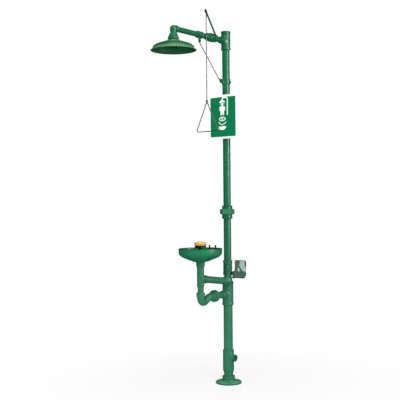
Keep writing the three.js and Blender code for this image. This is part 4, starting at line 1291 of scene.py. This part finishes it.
def make_flag():
    """A bent sheet with rounded corners, a turned-forward lip and pressed creases."""
    thickness, corner = 2.6, 9
    left, right, top = 45, 148, 91
    bend_at, bend, lip = -3.0, 5.0, 32.0
    rows = [top - 94 * i / 47 for i in range(47)]
    path = [(0.0, z) for z in rows if z > bend_at + 1.5]
    turn = math.radians(45)
    for k in range(7):
        angle = turn * k / 6
        path.append((-bend * (1 - math.cos(angle)), bend_at - bend * math.sin(angle)))
    y, z = path[-1]
    steps = 14
    for k in range(1, steps + 1):
        reach = (lip - bend * turn) * k / steps
        path.append((y - reach * math.sin(turn), z - reach * math.cos(turn)))
    lengths = [0.0]
    for a, b in zip(path, path[1:]):
        lengths.append(lengths[-1] + math.hypot(b[0] - a[0], b[1] - a[1]))
    total = lengths[-1]

    def crease(x, s):
        """How far the pressed lines stand out of the sheet's front."""
        apex, feet = (88, 30), ((62, 84), (122, 84))
        raised = 0.0
        for foot in feet:
            ax, ay = apex
            ex, ey = foot[0] - ax, foot[1] - ay
            t = min(1, max(0, ((x - ax) * ex + (s - ay) * ey) / (ex * ex + ey * ey)))
            off = math.hypot(x - ax - t * ex, s - ay - t * ey)
            raised = max(raised, 1.6 * math.exp(-((off / 2.6) ** 2)))
        return raised

    def tone(x, s):
        """Painted light and shade: painted reflections in a patch at the upper right and in the triangle
        between the pressed lines, painted shade along the right pressed line, the right edge, the lower part
        and the free edges.
        """
        if s < 4 or total - s < 9:
            return -0.6
        shaded = 1 / (1 + math.exp((right - 8 - x) / 1.2)) / (1 + math.exp((s - 42) / 3))
        start = 104 - 8 * min(1, s / 30) + 0.62 * max(0, s - 36)
        # painted reflections at the upper right and in the triangle between the pressed lines, and painted
        # shade along the right pressed line
        reflection_patch = 1 / (1 + math.exp((start - x) / 2.5)) / (1 + math.exp((s - 74) / 3))
        wide = abs(x - 88) - 0.42 * (s - 46)
        triangle_highlight = 1 / (1 + math.exp(wide / 1.5)) / (1 + math.exp((s - 73) / 1.5))
        crease_shade = math.exp(-(((x - 98 - 0.9 * (s - 52)) / 4) ** 2)) if 46 < s < 82 else 0
        low = 0.2 / (1 + math.exp((78 - s) / 2))
        return (max(0.8 * reflection_patch, triangle_highlight) - 0.9 * crease_shade) * (1 - shaded) - max(shaded, low)

    columns = 60
    front, back, tones = [], [], []
    for i, (y, z) in enumerate(path):
        s = lengths[i]
        end = min(s, total - s)
        trim = corner - math.sqrt(max(0, corner**2 - (corner - end) ** 2)) if end < corner else 0
        before, after = path[max(i - 1, 0)], path[min(i + 1, len(path) - 1)]
        along = Vector((after[0] - before[0], after[1] - before[1])).normalized()
        normal = Vector((along.y, -along.x))
        shoulder = 11 / (1 + math.exp((s - 72) / 2))
        x0 = left + shoulder + trim
        x1 = right - trim
        for k in range(columns + 1):
            x = x0 + (x1 - x0) * k / columns
            half = thickness / 2
            out = crease(x, s)
            tones.append(tone(x, s))
            front.append((x, y + normal.x * (half + out), z + normal.y * (half + out)))
            back.append((x, y - normal.x * (half - out * 0.8), z - normal.y * (half - out * 0.8)))
    width, count = columns + 1, len(path)
    shift = len(front)
    faces = []
    for i in range(count - 1):
        for k in range(columns):
            a = i * width + k
            faces.append([a, a + 1, a + width + 1, a + width])
            faces.append([shift + a, shift + a + width, shift + a + width + 1, shift + a + 1])
    rim = [k for k in range(width)] + [i * width + columns for i in range(1, count)]
    rim += [(count - 1) * width + k for k in range(columns - 1, -1, -1)]
    rim += [i * width for i in range(count - 2, 0, -1)]
    for a, b in zip(rim, rim[1:] + rim[:1]):
        faces.append([a, shift + a, shift + b, b])
    sheet = Shape(front + back, faces, tones * 2).moved(VALVE)
    outline = round_cornered([(10, 7), (-28, 7), (-28, -7), (10, -7)], 6)
    strap = extruded(outline, 3).placed(Matrix(((0, 0, 1), (0, 1, 0), (1, 0, 0))).to_4x4())
    strap = strap.moved(VALVE + 44 * RIGHT)
    hole = rod(4.3, 30, 60, 32).aimed(RIGHT, VALVE)
    room = rod(8, 47, 54.6, 40).aimed(RIGHT, VALVE)
    flag = carve(sheet, [hole, room], [strap])
    piece("flag_sheet", flag, FLAG_STEEL, ["push_flag"], "eyewash_flag", 30)


# ---------------------------------------------------------------- bowl, column and drain

COLUMN = Vector((0, COLUMN_Y, 0))


def make_column():
    port_at = COLUMN + PORT_Z * UP

    def shape(p):
        outside = spun(p, COLUMN, UP, [
            (0, 625), (20, 625), (20, 680), (22.5, 684), (24.5, 687), (24.5, 696), (23.6, 698),
            (23.6, 806), (24.5, 808), (24.5, 814), (28.5, 818), (28.5, 841.7), (0, 841.7),
        ], 1)
        port = socket(p, port_at, -TO_COLUMN, (25.2, 36), (27, 38, 48), 1)
        whole = union_of(outside, port, 8)
        return drilled(p, whole, [
            (COLUMN + 820 * UP, UP, 17, 40, 0.1),
            (COLUMN + 688 * UP, UP, 21, 134, 0.1),
            (COLUMN + 600 * UP, UP, 16.5, 95, 0.1),
            (port_at - 31 * TO_COLUMN, -TO_COLUMN, EYE_PIPE_R + GAP, 40, 0.1, 0.6),
            (port_at, -TO_COLUMN, 8.3, 60, 0.1),
        ])

    low, high = COLUMN + Vector((-29, -29, 625)), COLUMN + Vector((34, 55, 842))
    piece("column", cast(shape, low, high, 1.5), GREEN, ["column_body"])
    reach = (Vector((VALVE.x, VALVE.y, ELBOW_Z)) - port_at).length
    supply = pipe(EYE_PIPE_R, 19, 31.3, reach - 27.3, 20, 20, 48).aimed(-TO_COLUMN, port_at)
    piece("supply_tube", supply, GREEN, ["eyewash_supply_pipe"])
    path = rounded_run([port_at - 30 * TO_COLUMN, port_at, COLUMN + SPRAY_Z * UP], 10)
    piece("riser", hollow(path, 8, 6, 24), STEEL, ["riser_tube"])


def hollow(path, radius, bore, sides=32):
    """A tube swept along a path, open at both ends."""
    outer, inner = swept(path, radius, sides, 0), swept(path, bore, sides, 0)
    shift = len(outer.points)
    faces = outer.faces[:-2] + [[i + shift for i in f[::-1]] for f in inner.faces[:-2]]
    last = shift - sides
    for k in range(sides):
        n = (k + 1) % sides
        faces.append([k, shift + k, shift + n, n])
        faces.append([last + k, last + n, shift + last + n, shift + last + k])
    return Shape(outer.points + inner.points, faces)


def make_bowl():
    at = COLUMN + BOWL_Z * UP
    inside = [(17, -86), (47, -81.5), (86.5, -66.5), (120.5, -52.5), (135.5, -36.5), (138.6, -23)]

    # tone paints shade on the bowl: a painted shadow along the rim and painted shade over the inside
    def tone(r, z):
        if z > -3.2 and r > 137:
            return -0.8
        level = height_on(inside, r)
        return -1.0 if level is not None and z > level - 1.5 else 0.0

    shell = lathe([
        (17, -90), (25.5, -90, 1), (36, -88.4), (48, -85, 6), (68, -78), (88, -70, 8), (106, -62.6),
        (123, -55, 10), (133, -46.5), (139, -38, 8), (141.4, -31), (142.5, -24, 5), (142.9, -12),
        (143, -6), (143, -1.6), (142.2, -0.4), (141, 0), (139.8, -0.4), (139.1, -1.6), (139, -6),
        (138.5, -23, 5), (137.6, -30), (135.5, -36, 6), (129.6, -44.6), (120.5, -52, 8), (104, -59.4),
        (86.5, -66, 8), (67, -73.6), (47, -81, 6), (30, -86, 4), (17, -86),
    ], 128, tone=tone).moved(at)
    holes = []
    for x in (-POST_X, POST_X):
        holes.append(rod(4.9, -70, -20, 24).moved(at + Vector((x, POST_Y, 0))))
    piece("basin", carve(shell, holes), BOWL_GREEN, ["bowl"], smooth=35)

    base = BOWL_Z - 86 + GAP
    strainer = lathe([
        (8.3, -18), (15.8, -18), (16.7, -17), (16.7, 0), (27.4, 0), (28, 0.8), (28, 1.6), (26.6, 3, 0.6),
        (20, 3.4), (8.3, 3.4),
    ], 64).moved(COLUMN + base * UP)
    holes = []
    for k in range(12):
        angle = 2 * math.pi * k / 12
        at_hole = COLUMN + Vector((12.4 * math.cos(angle), 12.4 * math.sin(angle), base - 30))
        holes.append(rod(2.0, 0, 50, 16).moved(at_hole))
    piece("strainer", carve(strainer, holes), FLAG_STEEL, ["bowl_strainer"], smooth=30)

    for side, x in (("left", -POST_X), ("right", POST_X)):
        post = lathe([
            (0, 0), (3.8, 0), (4.6, 1), (4.6, 10), (4.1, 10.6), (4.6, 11.2), (4.6, 53), (5, 54.5, 0.5),
            (5.6, 56, 0.5), (5.6, 62, 0.8), (4, 63.8, 1), (0, 64),
        ], 28).moved(at + Vector((x, POST_Y, -47)))
        piece(f"post_{side}", post, BLACK, [f"rim_post_{side}"])


def make_spray_head():
    at = COLUMN + SPRAY_Z * UP
    hinge = Vector((0, 42, 16))

    def ribs(angle, r, z):
        return r - 0.9 * max(0, math.cos(angle * 30)) ** 2 if r > 35 and 2 < z < 13 else r

    base = lathe([
        (8.3, -10), (12, -10), (13, -9), (13, -3, 1), (22, -1.4), (34, -0.4, 1), (36, 1.6), (36, 2.2),
        (36, 12.8), (36, 14, 0.5), (34, 16, 0.6), (22, 16), (21, 15.2), (20, 16), (0, 16), (0, 6), (8.3, 6),
    ], 180, ripple=ribs)
    lugs = [slab_mesh((x0, 30, 6), (x1, 47, 20)) for x0, x1 in ((-12, -7), (7, 12))]
    cutters = [rod(2.8, -20, 20, 24).aimed(RIGHT, hinge)]
    for k in range(6):
        angle = math.radians(60 * k)
        jet = rod(1.6, 2, 30, 12)
        cutters.append(jet.moved((5 * math.cos(angle), 5 * math.sin(angle), 0)))
    shape = carve(base.moved(at), [c.moved(at) for c in cutters], [lug.moved(at) for lug in lugs])
    piece("spray_seat", shape, BLACK, ["spray_base"], smooth=30)

    def scallop(angle, r, z):
        return r - 0.7 * max(0, math.cos(angle * 24)) ** 2 if r > 37.5 and 18.5 < z < 26 else r

    # tone paints light and shade on the cover: painted shade on its skirt below 26 mm and a painted
    # highlight over its top
    dome = lathe([
        (38.5, 16.3), (38.5, 18), (38.5, 19), (38.5, 25.6), (38.5, 27, 0.8), (37.4, 31), (34, 36, 2),
        (28, 38.6), (22, 39.6, 1), (20, 39.2), (18, 39.8, 0.6), (0, 40), (0, 37), (21, 37, 1),
        (32, 33.5, 2), (35.5, 26, 2), (35.5, 16.3),
    ], 144, ripple=scallop, tone=lambda r, z: -0.9 if z < 26 else 0.25)
    arm = slab_mesh((-5, 34, 17), (5, 42, 22))
    knuckle = lathe([(0, -5), (4.5, -5, 0.4), (4.5, 5, 0.4), (0, 5)], 32).aimed(RIGHT, hinge)
    pin = lathe([(0, -11), (2.3, -11, 0.3), (2.3, 11, 0.3), (0, 11)], 24).aimed(RIGHT, hinge)
    tab = slab_mesh((-9, -38.4, 17), (9, -36, 19.5))
    rooms = [slab_mesh((x0, 30, 10), (x1, 50, 20.5)) for x0, x1 in ((-13, -6.5), (6.5, 13))]
    cover = carve(
        dome.moved(at), [r.moved(at) for r in rooms], [s.moved(at) for s in (arm, knuckle, tab, pin)]
    )
    piece("flip_cover", cover, YELLOW, ["spray_cover"], "dust_cover", 30)


def make_trap():
    bend_path = rounded_run([
        COLUMN + 632 * UP, COLUMN + 556 * UP, Vector((0, -205, DRAIN_Z)), Vector((0, -162, DRAIN_Z)),
    ], 30, 6)

    def run(p, radius):
        best = np.full(p.shape[:-1], 1e9)
        for a, b in zip(bend_path, bend_path[1:]):
            a, b = np.array(a), np.array(b)
            t = np.clip(((p - a) @ (b - a)) / ((b - a) @ (b - a)), 0, 1)
            best = np.minimum(best, np.linalg.norm(p - a - t[..., None] * (b - a), axis=-1))
        return best - radius

    def shape(p):
        whole = both(run(p, 24), p[..., 2] - 632, 0.6)
        lip = spun(p, COLUMN, UP, [(0, 604), (24, 604), (24.6, 606), (24.6, 612), (24, 614), (0, 614)], 0.5)
        whole = union_of(whole, lip, 1)
        hub = spun(p, (0, -144, DRAIN_Z), FRONT, [(0, 0), (34, 0), (34, 18), (30, 20), (0, 20)], 0.8)
        whole = both(union_of(whole, hub, 5), p[..., 1] + 144, 0.4)
        whole = without(whole, bar(p, (0, -140, DRAIN_Z), FRONT, TRAP_ROOM, 18, 0.1), 0.5)
        return without(whole, run(p, 21), 0.6)

    low, high = (-35, COLUMN_Y - 25, 525), (35, -143, 642)
    piece("trap_u", cast(shape, low, high, 1.6), GREEN, ["trap_bend"])

    def lobes(angle, r, z):
        return r - 2.2 * max(0, math.cos(angle * 6)) ** 6 if r > 37 and 1.5 < z < 23 else r

    ring = lathe([
        (22.8, 0), (34, 0, 1), (36, 1.2), (37.4, 2.4), (40, 5, 1), (40, 12), (40, 20), (40, 23, 1),
        (38, 26, 1), (34.3, 26), (34.3, 8), (22.8, 8),
    ], 192, ripple=lobes).aimed(FRONT, (0, -135, DRAIN_Z))
    piece("trap_ring", ring, GREEN, ["trap_union_nut"], smooth=30)
    arm = pipe(TRAP_R, 18, 44.3, 153.3, 26, 0, 48).aimed(FRONT, (0, 0, DRAIN_Z))
    piece("trap_tail", arm, GREEN, ["trap_arm"])

    def grips(angle, r, z):
        return r - 1.2 * max(0, math.cos(angle * 8)) ** 4 if r > 28 and z < 640 else r

    nut = lathe([
        (25, 616), (27.5, 616), (28.5, 617.4), (28.5, 620), (28.5, 632), (28.5, 639), (27, 642, 1),
        (20.3, 642), (20.3, 634), (25, 634),
    ], 128, ripple=grips).moved(COLUMN)
    piece("slip_ring", nut, GREEN, ["slip_nut"], smooth=30)


# ---------------------------------------------------------------- hidden pieces, floor, light and camera


def paint_hidden():
    """CAD pieces inside the fittings stay, and take a finished material."""
    for node in ("union_gasket", "shower_inlet_seat", "shower_outlet_seat", "eyewash_upper_seat",
                 "eyewash_lower_seat"):
        repaint(node, SEAL)
    for node in ("shower_ball", "eyewash_ball"):
        repaint(node, FLAG_STEEL)


def repaint(node, material):
    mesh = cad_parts[node].data
    if not mesh.materials:
        mesh.materials.append(material)
    for i in range(len(mesh.materials)):
        mesh.materials[i] = material


def new_nodes(material_or_world, *kinds):
    """An emptied node tree, and new nodes of the given kinds in it."""
    material_or_world.use_nodes = True
    tree = material_or_world.node_tree
    tree.nodes.clear()
    return tree, [tree.nodes.new("ShaderNode" + kind) for kind in kinds]


def wire(tree, *ends):
    for source, target in ends:
        tree.links.new(source, target)


def make_floor():
    """A pale floor that fades into a white backdrop away from the foot."""
    size = 60
    mesh = bpy.data.meshes.new("floor")
    corners = [(-size, -size, 0), (size, -size, 0), (size, size, 0), (-size, size, 0)]
    mesh.from_pydata(corners, [], [[0, 1, 2, 3]])
    floor = bpy.data.objects.new("floor", mesh)
    bpy.context.scene.collection.objects.link(floor)
    floor.location.z = -0.0004
    floor.visible_glossy = False
    material = bpy.data.materials.new("pale_floor")
    tree, (out, mixed, matt, glow, seen, share, place, distance, fade) = new_nodes(
        material, "OutputMaterial", "MixShader", "BsdfDiffuse", "Emission", "LightPath", "Math",
        "TexCoord", "VectorMath", "MapRange",
    )
    share.operation = "MULTIPLY"
    distance.operation = "LENGTH"
    fade.interpolation_type = "SMOOTHSTEP"
    fade.inputs["From Min"].default_value = 0.2
    fade.inputs["From Max"].default_value = 1.6
    fade.inputs["To Min"].default_value = 0.8
    matt.inputs["Color"].default_value = (0.8, 0.8, 0.8, 1)
    wire(
        tree, (place.outputs["Object"], distance.inputs[0]),
        (distance.outputs["Value"], fade.inputs["Value"]),
        (seen.outputs["Is Camera Ray"], share.inputs[0]), (fade.outputs["Result"], share.inputs[1]),
        (share.outputs[0], mixed.inputs[0]), (matt.outputs[0], mixed.inputs[1]),
        (glow.outputs[0], mixed.inputs[2]), (mixed.outputs[0], out.inputs[0]),
    )
    mesh.materials.append(material)


def make_world():
    """White to the camera, and a dimmer white that lights the object and shows less in highlights."""
    world = bpy.data.worlds.new("studio")
    bpy.context.scene.world = world
    tree, (out, mixed, seen, ambient, level, white) = new_nodes(
        world, "OutputWorld", "MixShader", "LightPath", "Background", "MapRange", "Background"
    )
    for background in (ambient, white):
        background.inputs["Color"].default_value = (1, 1, 1, 1)
    level.inputs["To Min"].default_value = 0.32
    level.inputs["To Max"].default_value = 0.05
    wire(
        tree, (seen.outputs["Is Glossy Ray"], level.inputs["Value"]),
        (level.outputs["Result"], ambient.inputs["Strength"]),
        (seen.outputs["Is Camera Ray"], mixed.inputs[0]), (ambient.outputs[0], mixed.inputs[1]),
        (white.outputs[0], mixed.inputs[2]), (mixed.outputs[0], out.inputs[0]),
    )


def softbox(name, at, target, width, height, energy, seen_by="both"):
    """A soft lamp. seen_by is both, matt for no highlight of its own, or gloss for a highlight only."""
    light = bpy.data.lights.new(name, "AREA")
    light.shape = "RECTANGLE"
    light.size, light.size_y, light.energy = width, height, energy
    made = bpy.data.objects.new(name, light)
    bpy.context.scene.collection.objects.link(made)
    made.location = at
    aim = Vector(target) - Vector(at)
    made.rotation_euler = aim.to_track_quat("-Z", "Y").to_euler()
    made.visible_camera = False
    made.visible_glossy = seen_by != "matt"
    made.visible_diffuse = seen_by != "gloss"


def make_camera_and_light():
    angle = math.radians(39)
    back = Vector((math.sin(angle), -math.cos(angle), 0))
    right = Vector((math.cos(angle), math.sin(angle), 0))
    camera = bpy.data.cameras.new("camera")
    camera.lens, camera.sensor_width = 72, 36
    camera.clip_end = 200
    made = bpy.data.objects.new("camera", camera)
    bpy.context.scene.collection.objects.link(made)
    made.matrix_world = Matrix.Translation(back * 5.460 - right * 0.185 + 1.249 * UP) @ (
        Matrix((right, UP, back)).transposed() @ Matrix.Rotation(math.radians(-0.5), 3, "Z")
    ).to_4x4()
    bpy.context.scene.camera = made

    middle = Vector((0, -0.2, 1.3))

    def around(turn, distance, height):
        """A place at a turn to the camera's right, in degrees, seen from the object."""
        a = math.radians(turn)
        return back * (distance * math.cos(a)) + right * (distance * math.sin(a)) + height * UP

    softbox("key", around(18, 4.0, 2.2), middle, 1.4, 3.0, 120, "matt")
    softbox("fill", around(-42, 4.2, 1.8), middle, 2.2, 3.0, 46, "matt")
    softbox("stripe", around(57, 3.4, 2.1), middle, 0.5, 2.4, 170, "gloss")
    softbox("top", around(10, 1.6, 4.2), middle, 2.5, 2.5, 52)
    softbox("rear", around(180, 4.4, 2.2), middle, 1.4, 3.0, 80, "matt")
    bpy.context.scene.view_settings.view_transform = "Standard"


make_stanchion()
make_union()
make_top_tee()
make_arm()
make_lever()
make_head()
make_pull_line()
make_brace()
make_sign()
make_branch()
make_eyewash_valve()
make_flag()
make_column()
make_bowl()
make_spray_head()
make_trap()
paint_hidden()
make_floor()
make_world()
make_camera_and_light()
